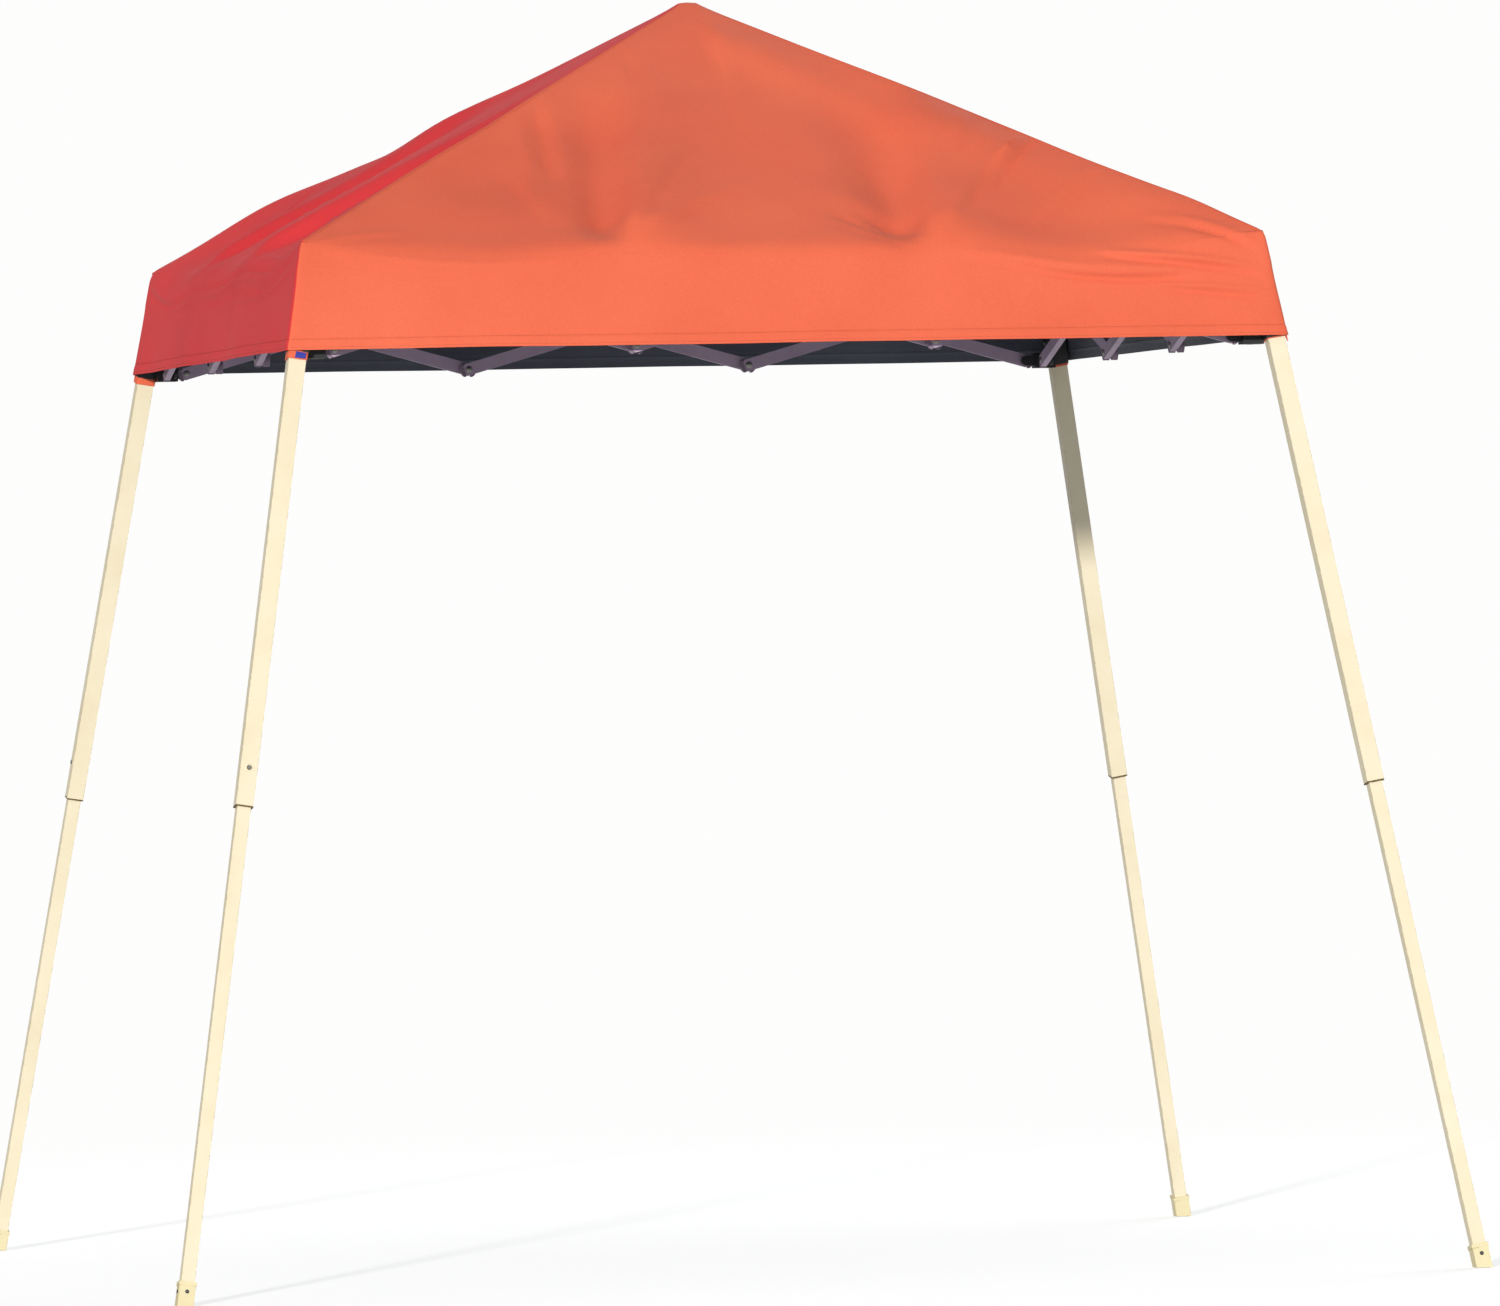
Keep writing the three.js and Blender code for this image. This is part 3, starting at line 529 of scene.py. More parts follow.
def sheet_rest(q, a_frac, b):
    """Points of the cloth in the front side's frame turned to side q. a_frac: -1..1 across at that level; b: mm up the
    roof from the eave, or negative down the valance. Returns world mm."""
    a_frac, b = np.broadcast_arrays(np.asarray(a_frac, float), np.asarray(b, float))
    t_up = np.clip(b, 0, None)
    t_dn = np.clip(-b, 0, None)
    rho = 1 - t_up / ROOF_L
    a = a_frac * np.where(b >= 0, rho * EAVE, EAVE + (HEM_HALF - EAVE) * t_dn / VAL_L)
    # eave: a rounded turn from roof to valance, sagging between the props
    s_along = np.clip(a_frac * EAVE, -906, 906)
    drop = eave_drop(s_along, q)
    keep_up = np.exp(-np.clip(b, 0, None) / 190) * (np.abs(a_frac) < 0.999)
    cornerness = 1 - np.exp(-((906 - np.abs(s_along)) / 60))
    c = 7 + 24 * np.clip(drop / 30, 0, 1)
    sp_up = 0.5 * (b + np.sqrt(b ** 2 + c ** 2)) - np.where(b > 0, 0.5 * (np.sqrt(b ** 2 + c ** 2) - b), 0) * smooth(b, 0, 160)
    sp_dn = 0.5 * (-b + np.sqrt(b ** 2 + c ** 2)) - np.where(b < 0, 0.5 * (np.sqrt(b ** 2 + c ** 2) + b), 0) * smooth(-b, 0, 150)
    up = np.array([EAVE, PEAK_Z - EAVE_Z]) / ROOF_L  # towards the centre, up
    dn = np.array([-(HEM_HALF - EAVE), -(EAVE_Z - HEM_Z)]) / VAL_L
    y = -EAVE + up[0] * sp_up + dn[0] * sp_dn
    z = EAVE_Z + up[1] * sp_up + dn[1] * sp_dn
    # the sag itself moves the turn down the valance
    ez = drop * np.where(b >= 0, np.exp(-(t_up / 210) ** 1.1), 1 - smooth(t_dn, 10, 175))
    z = z - ez
    y = y - 0.17 * ez
    # displacement off the panel
    A = a_frac * np.where(b >= 0, rho * 906, 906)
    D = folds(q, A, b)
    to_hip = np.where(b >= 0, (1 - np.abs(a_frac)) * rho * EAVE, (1 - np.abs(a_frac)) * 906)
    edge = 1 - np.exp(-((to_hip / 45) ** 2))
    D = D * edge
    nr = np.array([-(PEAK_Z - EAVE_Z), EAVE]) / ROOF_L
    nv = np.array([-(EAVE_Z - HEM_Z), (HEM_HALF - EAVE)]) / VAL_L
    mixv = smooth(b, -45, 45)
    ny = nr[0] * mixv + nv[0] * (1 - mixv)
    nz = nr[1] * mixv + nv[1] * (1 - mixv)
    ln = np.hypot(ny, nz)
    y = y + D * ny / ln
    z = z + D * nz / ln
    # hips: crisp, with the rafters' waves
    for side_sign, corner in ((-1, q), (1, (q + 1) % 4)):
        near = np.exp(-((to_hip / 120) ** 2)) * (np.sign(a_frac) == side_sign)
        z = z + np.where(b >= 0, hip_wave(corner, t_up / ROOF_L) * near, 0)
    # level contours are squares with tight round corners
    h = -y
    ax = np.abs(a)
    cc = 8.0 * np.clip(h / 60, 0.02, 1)
    M = 0.5 * (ax + h + np.sqrt((ax - h) ** 2 + cc ** 2))
    f = np.where(h > 1e-6, np.maximum(h, ax) / np.maximum(M, 1e-6), 1)
    x = a * f
    y = y * f
    # the peak is rounded over the hub cap
    level = np.maximum(np.abs(x), np.abs(y))
    z = z - SLOPE * (np.sqrt(level ** 2 + 10.0 ** 2) - level) + 3.6 * np.exp(-((level / 22) ** 2))
    return turn(np.stack([x, y, z], -1), q)


def sheet_fold(q, a_frac, b):
    """The same points with the frame folded: the cloth is gathered over the bundle and hangs in swags between the legs."""
    a_frac, b = np.broadcast_arrays(np.asarray(a_frac, float), np.asarray(b, float))
    t = ROOF_L - b  # distance from the peak down the middle of the panel
    s = a_frac
    T0, half = 182.0, 178.0
    cap = np.clip(t / T0, 0, 1)
    w = np.abs(s) ** 1.35
    hang = np.clip(t - T0, 0, None)
    span = ROOF_L - T0
    on_roof = np.clip(hang / span, 0, 1)
    loop = 470 * np.sin(np.pi * on_roof ** 0.92) ** 0.9 + 26 * on_roof
    loop = loop + np.clip(t - ROOF_L, 0, None) * 0.985
    straight = hang * 0.955
    depth = (1 - w) * straight + w * loop
    z = 2399 - 14 * cap ** 2 - 7 * cap - depth
    # outward: first layer outside, second comes back in against the leg
    layer = 62 * np.sin(np.pi * np.clip(on_roof * 1.02, 0, 1)) * (1 - 0.45 * on_roof) * (0.35 + 0.65 * w)
    layer = layer * (1 - 0.85 * w * smooth(on_roof, 0.52, 0.68)) + 6 + 10 * (1 - w) * on_roof
    # the valance comes out round the first layer
    layer = layer + 46 * w * smooth(t - ROOF_L, -18, 70)
    pleat = smooth(hang, 15, 330) * (1 - 0.35 * w)
    ph = [0.4, 1.9, 3.1, 5.0][q]
    wave = 21 * np.sin(2 * math.pi * 3.6 * s + ph + 0.9 * np.sin(depth / 210 + ph)) + 9 * np.sin(2 * math.pi * 7.3 * s + 2 * ph + depth / 260)
    out = layer * smooth(hang, 0, 120) + pleat * wave * (1 - np.exp(-((1 - np.abs(s)) / 0.07))) + pleat * 16
    lean = 0.052 * np.clip(depth, 0, None)
    y = -(half * cap + out + lean)
    x = s * (half * cap + lean) * (1 - 0.0 * w) + pleat * 12 * np.sin(2 * math.pi * 3.6 * s + ph + 1.2 + depth / 300) * (1 - np.abs(s)) ** 0.5
    # both panels meet at the hip: use the diagonal there
    k = np.exp(-((1 - np.abs(s)) / 0.10))
    x = x * (1 - k) + k * (np.sign(s) * (-y))
    return turn(np.stack([x, y, z], -1), q)


def build_sheet():
    n = N
    u = GRID
    U, W = np.meshgrid(u, u, indexing="ij")
    rho = np.maximum(np.abs(U), np.abs(W))
    q = np.zeros(U.shape, int)
    q[(np.abs(U) > np.abs(W)) & (U > 0)] = 1
    q[(W > 0) & (np.abs(W) >= np.abs(U))] = 2
    q[(np.abs(U) > np.abs(W)) & (U < 0)] = 3
    q[(W < 0) & (np.abs(W) >= np.abs(U))] = 0
    along = np.select([q == 0, q == 1, q == 2, q == 3], [U, W, -U, -W])
    frac = np.where(rho > 1e-9, along / np.maximum(rho, 1e-9), 0)
    b = (1 - rho) * ROOF_L
    rest = np.zeros(U.shape + (3,))
    fold = np.zeros(U.shape + (3,))
    for k in range(4):
        m = q == k
        rest[m] = sheet_rest(k, frac[m], b[m])
        fold[m] = sheet_fold(k, frac[m], b[m])
    c = n // 2
    rest[c, c] = (0, 0, rest[c + 1, c, 2] + 1.2)
    fold[c, c] = (0, 0, 2399)
    idx = np.arange((n + 1) ** 2).reshape(n + 1, n + 1)
    faces = []
    for i in range(n):
        for j in range(n):
            f = (idx[i, j], idx[i + 1, j], idx[i + 1, j + 1], idx[i, j + 1])
            # split the cells that a hip crosses along the hip
            if i == j:
                faces += [(f[0], f[1], f[2]), (f[0], f[2], f[3])]
            elif i + j == n - 1:
                faces += [(f[0], f[1], f[3]), (f[1], f[2], f[3])]
            else:
                faces.append(f)
    verts_r, verts_f = rest.reshape(-1, 3), fold.reshape(-1, 3)
    border = [idx[i, 0] for i in range(n)] + [idx[n, j] for j in range(n)]
    border += [idx[n - i, n] for i in range(n)] + [idx[0, n - j] for j in range(n)]
    P = 4 * n
    rows = [np.array(border)]
    vr, vf = [verts_r], [verts_f]
    k = len(verts_r)
    for d in BANDS[1:]:
        rr, ff = [], []
        for side in range(4):
            s = GRID[:-1]
            rr.append(sheet_rest(side, s, -d))
            ff.append(sheet_fold(side, s, -d))
        vr.append(np.concatenate(rr))
        vf.append(np.concatenate(ff))
        rows.append(np.arange(k, k + P))
        k += P
    for r0, r1 in zip(rows, rows[1:]):
        for m in range(P):
            mm = (m + 1) % P
            faces.append((r0[m], r1[m], r1[mm], r0[mm]))
    return np.concatenate(vr), np.concatenate(vf), faces, rows


vr, vf, sheet_faces, ring_rows = build_sheet()


def add_fold_key(o, folded_mm):
    """A 'folded' shape that the front-right corner bracket's travel drives."""
    o.shape_key_add(name="Basis")
    key = o.shape_key_add(name="folded")
    key.data.foreach_set("co", (np.asarray(folded_mm, np.float32) / 1000).ravel())
    key.value = 0.0
    d = key.driver_add("value").driver
    d.type = "SCRIPTED"
    v = d.variables.new()
    v.name = "v"
    v.type = "TRANSFORMS"
    v.targets[0].id = bpy.data.objects["body:corner_bracket_fr"]
    v.targets[0].transform_type = "LOC_X"
    v.targets[0].transform_space = "WORLD_SPACE"
    d.expression = f"min(1.0, max(0.0, -v / {FOLD_SHIFT / 1000:.5f}))"


def vertex_normals(verts, faces):
    n = np.zeros_like(verts)
    tri = []
    for f in faces:
        tri.append((f[0], f[1], f[2]))
        if len(f) == 4:
            tri.append((f[0], f[2], f[3]))
    tri = np.array(tri)
    c = np.cross(verts[tri[:, 1]] - verts[tri[:, 0]], verts[tri[:, 2]] - verts[tri[:, 0]])
    for k in range(3):
        np.add.at(n, tri[:, k], c)
    return n / np.maximum(np.linalg.norm(n, axis=1, keepdims=True), 1e-9)


def push_clear(verts, faces, bodies, clear, reach=70.0, rounds=14, hold=0.86):
    """Lifts the cloth off the hard parts under it, and lets the lift die away over the cloth around."""
    from mathutils.bvhtree import BVHTree

    pts, tris, k = [], [], 0
    for name in bodies:
        o = frame["nodes"][name]
        mw = o.matrix_world
        me = o.data
        me.calc_loop_triangles()
        pts += [mw @ v.co * 1000 for v in me.vertices]
        tris += [tuple(i + k for i in t.vertices) for t in me.loop_triangles]
        k += len(me.vertices)
    tree = BVHTree.FromPolygons(pts, tris, all_triangles=True)
    nrm = vertex_normals(verts, faces)
    if (nrm * verts).sum() < 0:
        nrm = -nrm
    push = np.zeros(len(verts))
    near = (verts[:, 2] > 1700)
    for i in np.nonzero(near)[0]:
        p, n_ = Vector(verts[i]), Vector(nrm[i])
        hit = tree.ray_cast(p + n_ * reach, -n_, reach + clear)
        if hit[0] is not None:
            push[i] = reach + clear - hit[3]
    edges = set()
    for f in faces:
        for a_, b_ in zip(f, f[1:] + f[:1]):
            edges.add((min(a_, b_), max(a_, b_)))
    e = np.array(sorted(edges))
    need = push.copy()
    for _ in range(rounds):
        spread_ = np.zeros_like(push)
        np.maximum.at(spread_, e[:, 0], push[e[:, 1]])
        np.maximum.at(spread_, e[:, 1], push[e[:, 0]])
        total, count = np.zeros_like(push), np.zeros_like(push)
        np.add.at(total, e[:, 0], push[e[:, 1]])
        np.add.at(total, e[:, 1], push[e[:, 0]])
        np.add.at(count, e[:, 0], 1)
        np.add.at(count, e[:, 1], 1)
        push = np.maximum(need, hold * (0.5 * spread_ + 0.5 * total / np.maximum(count, 1)))
    return verts + nrm * push[:, None], float(need.max())


HARD = [n_ for n_ in frame["nodes"] if n_.startswith(("corner_bracket", "hub", "upper_rafter", "lower_rafter", "upper_leg"))
        or "_bar_" in n_]
vr, pushed = push_clear(vr, sheet_faces, HARD, 2.6)
print("cloth lifted off the frame by at most", round(pushed, 1), "mm")


# hem relief: the folded band stands proud of the cloth and its stitch line pulls in
nr_, nf_ = vertex_normals(vr, sheet_faces), vertex_normals(vf, sheet_faces)
if nr_[ring_rows[5]][:, 2].mean() < 0 and (vr[ring_rows[5]] * nr_[ring_rows[5]]).sum() < 0:
    sheet_faces = [f[::-1] for f in sheet_faces]
    nr_, nf_ = -nr_, -nf_
for k, d in enumerate(BANDS):
    if k == 0:
        continue
    rise = 0.0
    if d > 180:
        rise = 0.9
    if 181 < d < 185:
        rise = -0.7 if abs(d - 183) < 0.6 else 0.1
    idx = ring_rows[k]
    pucker = 0.45 * np.sin(np.arange(len(idx)) * 1.9) * (1 if 170 < d < 195 else 0)
    vr[idx] += nr_[idx] * (rise + pucker)[:, None] if np.ndim(pucker) else nr_[idx] * rise

def left_painted_shade_mask(verts, faces):
    """Whether each face lies on the left side panel, the one that takes the painted-shade copies of the cloth and seam
    tape.
    """
    c = np.array([np.mean([verts[i] for i in f], 0) for f in faces])
    return ((c[:, 0] < 0) & (-c[:, 0] > np.abs(c[:, 1]))).astype(int)


# the left side panel takes the painted-shade copy of the terracotta, picked by its mask
canopy = mesh_obj("canopy_cover", vr / 1000, sheet_faces, [M_TOP, M_TOP_LEFT_PAINTED_SHADE, M_UNDER, M_UNDER], left_painted_shade_mask(vr, sheet_faces))
add_fold_key(canopy, vf)
sol = canopy.modifiers.new("cloth_thickness", "SOLIDIFY")
sol.thickness = 0.0011
sol.offset = -1
sol.use_rim = True
sol.material_offset = 2
sol.material_offset_rim = 0
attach(canopy, "hub")
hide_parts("canopy")


def on_sheet(q, frac, b):
    """Rest and folded points and normals on the cloth, mm."""
    e = 3.0
    out = []
    for fn in (sheet_rest, sheet_fold):
        p = fn(q, frac, b)
        span = np.maximum(np.where(np.asarray(b) >= 0, (1 - np.clip(b, 0, None) / ROOF_L) * EAVE, EAVE), 20)
        pa = fn(q, np.clip(frac + e / span, -1, 1), b)
        pa0 = fn(q, np.clip(frac - e / span, -1, 1), b)
        pb = fn(q, frac, np.clip(b + e, -VAL_L, ROOF_L - 1))
        pb0 = fn(q, frac, np.clip(b - e, -VAL_L, ROOF_L - 1))
        nn = np.cross(pa - pa0, pb - pb0)
        nn /= np.maximum(np.linalg.norm(nn, axis=-1, keepdims=True), 1e-9)
        out += [p, nn]
    return out


def strip_mesh(name, centre_r, side_r, normal_r, centre_f, side_f, normal_f, profile, mats):
    """A tape along a curve: profile gives (offset across, height) points in mm; open ends closed flat."""
    m, k = len(centre_r), len(profile)
    V_r, V_f = [], []
    for c, s, n, out in ((centre_r, side_r, normal_r, V_r), (centre_f, side_f, normal_f, V_f)):
        for x, h in profile:
            out.append(c + s * x + n * h)
    V_r, V_f = (np.stack(v, 1).reshape(-1, 3) for v in (V_r, V_f))
    F = []
    for i in range(m - 1):
        for j in range(k):
            l = (j + 1) % k
            F.append((i * k + j, i * k + l, (i + 1) * k + l, (i + 1) * k + j))
    F.append(tuple(range(k))[::-1])
    F.append(tuple((m - 1) * k + j for j in range(k)))
    o = mesh_obj(name, V_r / 1000, F, mats)
    return o, V_f


def stitches(name, P_r, T_r, N_r, P_f, T_f, N_f, length=2.7, r=0.42, lift=0.25):
    """One small spindle of thread at each point."""
    n = len(P_r)
    vs = []
    for P, T, Nn in ((P_r, T_r, N_r), (P_f, T_f, N_f)):
        B = np.cross(T, Nn)
        c = P + Nn * lift
        vs.append(np.stack([c - T * length / 2 - Nn * 0.35, c + B * r, c + Nn * r, c - B * r, c - Nn * r, c + T * length / 2 - Nn * 0.35], 1).reshape(-1, 3))
    F = []
    for i in range(n):
        k = 6 * i
        for a, b in ((1, 2), (2, 3), (3, 4), (4, 1)):
            F += [(k, k + b, k + a), (k + 5, k + a, k + b)]
    o = mesh_obj(name, vs[0] / 1000, F, [M_THREAD])
    add_fold_key(o, vs[1])
    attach(o, "hub")
    return o


def tangent(P):
    t = np.gradient(P, axis=0)
    return t / np.maximum(np.linalg.norm(t, axis=1, keepdims=True), 1e-9)


# hip seams: a felled tape down each diagonal
for q, corner in enumerate(CORNERS):
    bb = np.linspace(2, ROOF_L - 32, 150)
    fr = np.full_like(bb, -1.0)
    pr, n0, pf, nf0 = on_sheet(q, fr, bb)
    # normal on the hip: mean of the two panels
    pr2, n1, pf2, nf1 = on_sheet((q + 3) % 4, -fr, bb)
    nh = n0 + n1
    nh *= np.sign(nh[:, 2:3].mean())
    nh /= np.linalg.norm(nh, axis=1, keepdims=True)
    nfh = nf0 + nf1
    nfh /= np.maximum(np.linalg.norm(nfh, axis=1, keepdims=True), 1e-9)
    tr, tf = tangent(pr), tangent(pf)
    # two flaps, one on each panel, so that the tape follows the fold of the hip
    V_r, V_f = [], []
    prof = [(-7.0, 0.1), (-6.6, 0.95), (-3.0, 1.15), (0.0, 1.35), (3.0, 1.15), (6.6, 0.95), (7.0, 0.1), (0.0, 0.2)]
    for P, T, nn, keep in ((pr, tr, nh, V_r), (pf, tf, nfh, V_f)):
        S = np.cross(T, nn)
        S /= np.maximum(np.linalg.norm(S, axis=1, keepdims=True), 1e-9)
        for x, h in prof:
            droop = 0.36 * abs(x) if keep is V_r else 0.2 * abs(x)
            keep.append(P + S * x + nn * (h - droop))
    k = len(prof)
    V_r, V_f = np.stack(V_r, 1).reshape(-1, 3), np.stack(V_f, 1).reshape(-1, 3)
    m = len(bb)
    F = [(i * k + j, i * k + (j + 1) % k, (i + 1) * k + (j + 1) % k, (i + 1) * k + j) for i in range(m - 1) for j in range(k)]
    F += [tuple(range(k))[::-1], tuple((m - 1) * k + j for j in range(k))]
    # tape on the left side panel takes the painted-shade copy of the seam tape
    o = mesh_obj(f"hip_seam_{corner}", V_r / 1000, F, [M_SEAM, M_SEAM_LEFT_PAINTED_SHADE], left_painted_shade_mask(V_r, F))
    bm = bmesh.new()
    bm.from_mesh(o.data)
    bmesh.ops.recalc_face_normals(bm, faces=bm.faces)
    bm.to_mesh(o.data)
    bm.free()
    add_fold_key(o, V_f)
    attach(o, "hub")

# hem stitches, two rows round the valance
P_r, T_r, N_r, P_f, T_f, N_f = [], [], [], [], [], []
for q in range(4):
    for dist in (183.0, 198.5):
        count = int(2 * 930 / 4.6)
        fr = np.linspace(-0.992, 0.992, count)
        pr, n0, pf, nf0 = on_sheet(q, fr, np.full_like(fr, -dist))
        sgn = np.sign((n0 * turn(np.array([0, -1.0, 0]), q)).sum(-1).mean())
        sgf = np.sign((nf0 * turn(np.array([0, -1.0, 0]), q)).sum(-1).mean())
        P_r.append(pr + n0 * sgn * (0.3 if dist < 190 else 0.9))
        N_r.append(n0 * sgn)
        T_r.append(tangent(pr))
        P_f.append(pf)
        N_f.append(nf0 * sgf)
        T_f.append(tangent(pf))
stitches("hem_stitches", *(np.concatenate(x) for x in (P_r, T_r, N_r, P_f, T_f, N_f)))


# ------------------------------------------------------------------ legs
def leg_axis(z):
    h = FOOT - LEAN * z
    return np.array([-h, -h, z])


AX = np.array([LEAN, LEAN, 1.0])
AX /= np.linalg.norm(AX)
ACROSS = np.array([1, -1, 0]) / math.sqrt(2)
INW = np.array([1, 1, 0]) / math.sqrt(2)
E1 = INW - (INW @ AX) * AX
E1 /= np.linalg.norm(E1)
SX = (E1 + ACROSS) / math.sqrt(2)
SY = (E1 - ACROSS) / math.sqrt(2)


def leg_point(z, u=0.0, v=0.0, along=0.0):
    return leg_axis(z) + SX * u + SY * v + AX * along


def paint(name, mat, bev, seg=2):
    o = frame["nodes"][name]
    o.data.materials.clear()
    o.data.materials.append(mat)
    bevel(o, bev, seg)
    o.data.polygons.foreach_set("use_smooth", np.zeros(len(o.data.polygons), bool))
    return o


for q, c in enumerate(CORNERS):
    paint(f"upper_leg_{c}", M_LEG, 0.0022, 3)
    paint(f"lower_leg_{c}", M_LEG, 0.0019, 3)
    paint(f"foot_cap_{c}", M_FOOT, 0.0016, 3)
    paint(f"leg_button_{c}", M_STEEL, 0.0006, 2)
    paint(f"corner_bracket_{c}", M_BLACK, 0.0007, 2)
    paint(f"slider_{c}", M_BLACK, 0.0007, 2)
    paint(f"upper_rafter_{c}", M_BAR, 0.0026, 3)
    paint(f"lower_rafter_{c}", M_BAR, 0.0026, 3)
    R = lambda p: turn(p, q)

    # brown bushing that shows as a dark line round the lower tube at the joint
    b = Build()
    b.extrude([(x, y) for x, y in rounded(16.6, 16.6, 3.0)], [(x, y) for x, y in rounded(12.9, 12.9, 2.2)],
              R(leg_point(895.0, along=-2.6)), R(SX), R(SY), R(AX), 0.0, 2.3)
    b.extrude(rounded(14.3, 14.3, 2.4), rounded(12.9, 12.9, 2.2), R(leg_point(895.0)), R(SX), R(SY), R(AX), -2.6, 26.0)
    o = b.make(f"leg_bushing_{c}", [M_BUSH], 0.0004)
    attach(o, f"upper_leg_{c}")

    # pressed ring round the button's hole
    b = Build()
    for z in (963.0,):
        b.lathe([(5.1, 15.6), (7.2, 15.6), (7.2, 16.3), (6.6, 16.7), (5.3, 16.7), (5.1, 16.3), (5.1, 15.6)],
                R(leg_point(z)), R(-SY), 28)
    o = b.make(f"button_ring_{c}", [M_LEG])
    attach(o, f"upper_leg_{c}")

    # foot: a screw through each of the cap's two outer faces
    b = Build()
    for face in (-SY, -SX):
        flat = SX if abs(face @ SX) < 0.5 else SY
        b.lathe([(0, 14.9), (3.6, 14.9), (3.6, 15.9), (2.9, 16.6), (0, 16.9)], R(leg_point(24.0)), R(face), 20, 1)
        b.extrude([(-2.2, -0.45), (2.2, -0.45), (2.2, 0.45), (-2.2, 0.45)], None, R(leg_point(24.0) + face * 16.55),
                  R(flat), R(AX), R(face), 0, 0.42, 0)
    o = b.make(f"foot_screw_{c}", [M_STEEL, M_BLACK])
    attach(o, f"lower_leg_{c}")

    # cloth tab that wraps the leg under the valance, deeper at the left pair
    b = Build()
    low, high = {"fl": (-7.0, 8.5), "fr": (5.5, 11.0), "br": (3.0, 9.5), "bl": (-6.0, 8.5)}[c]
    ring = rounded(18.4, 18.4, 4.0, 3)
    hole = rounded(17.0, 17.0, 3.0, 3)
    b.extrude(ring, hole, R(leg_point(1712.0)), R(SX), R(SY), R(AX), low, high, 0)
    if c == "fr":
        # its pointed end hangs at the inner corner
        b.extrude([(-18.2, 11.0), (-18.2, -6.0), (-11.5, 1.5), (-5.0, 11.0)], None, R(leg_point(1712.0, v=-18.4)), R(SX),
                  R(AX), R(-SY), -0.6, 1.2, 0)
    elif c in ("fl", "bl"):
        # overlapping end of the strap with its bar tack
        b.extrude([(-15, low - 0.3), (6.5, low - 0.3), (10.0, 0.5), (6.5, 8.2), (-15, 8.2)], None,
                  R(leg_point(1712.0, v=-18.4)), R(SX), R(AX), R(-SY), -0.4, 1.3, 0)
    if c == "fl":
        b.extrude([(-6, -5.8), (13.5, -5.0), (14.5, 5.5), (-4.5, 6.4)], None, R(leg_point(1712.0, v=-19.7)), R(SX), R(AX),
                  R(-SY), -0.4, 0.8, 1)
    o = b.make(f"leg_tab_{c}", [M_TOP, M_BLUE], 0.0004)
    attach(o, f"upper_leg_{c}")

    # slider: socket screws in the arms
    b = Build()
    zc = 1762.0
    for nrm in (SX, SY):
        b.lathe([(0, 18.4), (4.6, 18.4), (4.6, 21.2), (3.9, 22.4), (0, 22.6)], R(leg_point(zc)), R(nrm), 18, 0)
        b.lathe([(0, 22.4), (1.7, 22.4), (1.7, 22.75), (0, 22.75)], R(leg_point(zc)), R(nrm), 6, 1)
    o = b.make(f"slider_screws_{c}", [M_STEEL, M_BLACK])
    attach(o, f"slider_{c}")

    b = Build()
    for nrm in (SX, SY):
        for zz in (1884.0, 1898.0):
            b.lathe([(0, 19.8), (3.8, 19.8), (3.8, 20.6), (3.0, 21.6), (0, 21.8)], R(leg_point(zz)), R(nrm), 16, 0)
    # clevis pin ends of the rafter
    inward = -turn(np.array([-1.0, -1.0, 0]) / math.sqrt(2), q)
    side_dir = turn(np.array([-1.0, 1.0, 0]) / math.sqrt(2), q)
    rp = turn(np.array([-852.0, -852.0, 1930.0]), q)
    b.lathe([(0, 4.2), (5.0, 4.2), (5.0, 5.4), (3.6, 6.4), (0, 6.6)], rp, side_dir, 18, 0)
    b.lathe([(0, 17.0), (5.0, 17.0), (5.0, 18.2), (3.6, 19.2), (0, 19.4)], rp, -side_dir, 18, 0)
    o = b.make(f"bracket_screws_{c}", [M_STEEL, M_BLACK])
    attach(o, f"corner_bracket_{c}")


# ------------------------------------------------------------------ bars: end plugs and rivets
def bar_ends(name, a, b, n, outer_heads, body):
    """Round plugs in both ends of a bar from pivot a to pivot b (mm), flat face normal n, and domed rivets at given
    (share, side, height) places."""
    a, b, n = (np.asarray(x, float) for x in (a, b, n))
    d = b - a
    L = np.linalg.norm(d)
    d /= L
    up = np.cross(n, d)
    B = Build()
    for end, dirn in ((a, -d), (b, d)):
        # plug: a round nose that closes the tube, with a short skirt over the bar's end
        arc = [math.radians(t) for t in np.linspace(-45.6, 45.6, 13)]
        outline = [(17.3 * math.cos(t), 17.3 * math.sin(t)) for t in arc] + [(8.6, 12.4), (8.6, -12.4)]
        B.extrude(outline, None, end, dirn, up, np.cross(dirn, up), -6.3, 6.3, 0)
    for share, side, h in outer_heads:
        p = a + d * L * share
        B.lathe([(0, h), (6.4, h), (6.5, h + 0.7), (5.6, h + 1.7), (3.6, h + 2.35), (0, h + 2.6)], p, n * side, 18, 1)
    o = B.make(name, [M_PLUG, M_STEEL], 0.0005)
    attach(o, body)


def tnode(k, z, lane):
    return np.array([-TRUSS_END + k * 2 * TRUSS_END / 3, -TRUSS_PLANE - lane, z])


OUT = np.array([0, -1.0, 0])
FAR = 6 + 1 + 12 + 0.3
for q, side in enumerate(SIDES):
    n = turn(OUT, q)
    rises = {1: [(0, 1, 6), (0.5, 1, 6), (0.5, -1, FAR), (1, 1, 6), (1, -1, FAR)],
             2: [(0, 1, 6), (0.5, 1, 6), (1, 1, 6), (1, -1, FAR)],
             3: [(0, 1, 6), (0.5, 1, 6), (0.5, -1, FAR)]}
    falls = {1: [(1, -1, 6)], 2: [(0.5, -1, 6), (1, -1, 6)], 3: [(1, -1, 6)]}
    for i in (1, 2, 3):
        for kind in ("rise", "fall"):
            paint(f"{side}_{kind}_bar_{i}", M_BAR, 0.0026, 3)
        bar_ends(f"{side}_rise_plugs_{i}", turn(tnode(i - 1, LOW_Z, LANE), q), turn(tnode(i, UP_Z, LANE), q), n,
                 rises[i], f"{side}_rise_bar_{i}")
        bar_ends(f"{side}_fall_plugs_{i}", turn(tnode(i - 1, UP_Z, -LANE), q), turn(tnode(i, LOW_Z, -LANE), q), n,
                 falls[i], f"{side}_fall_bar_{i}")

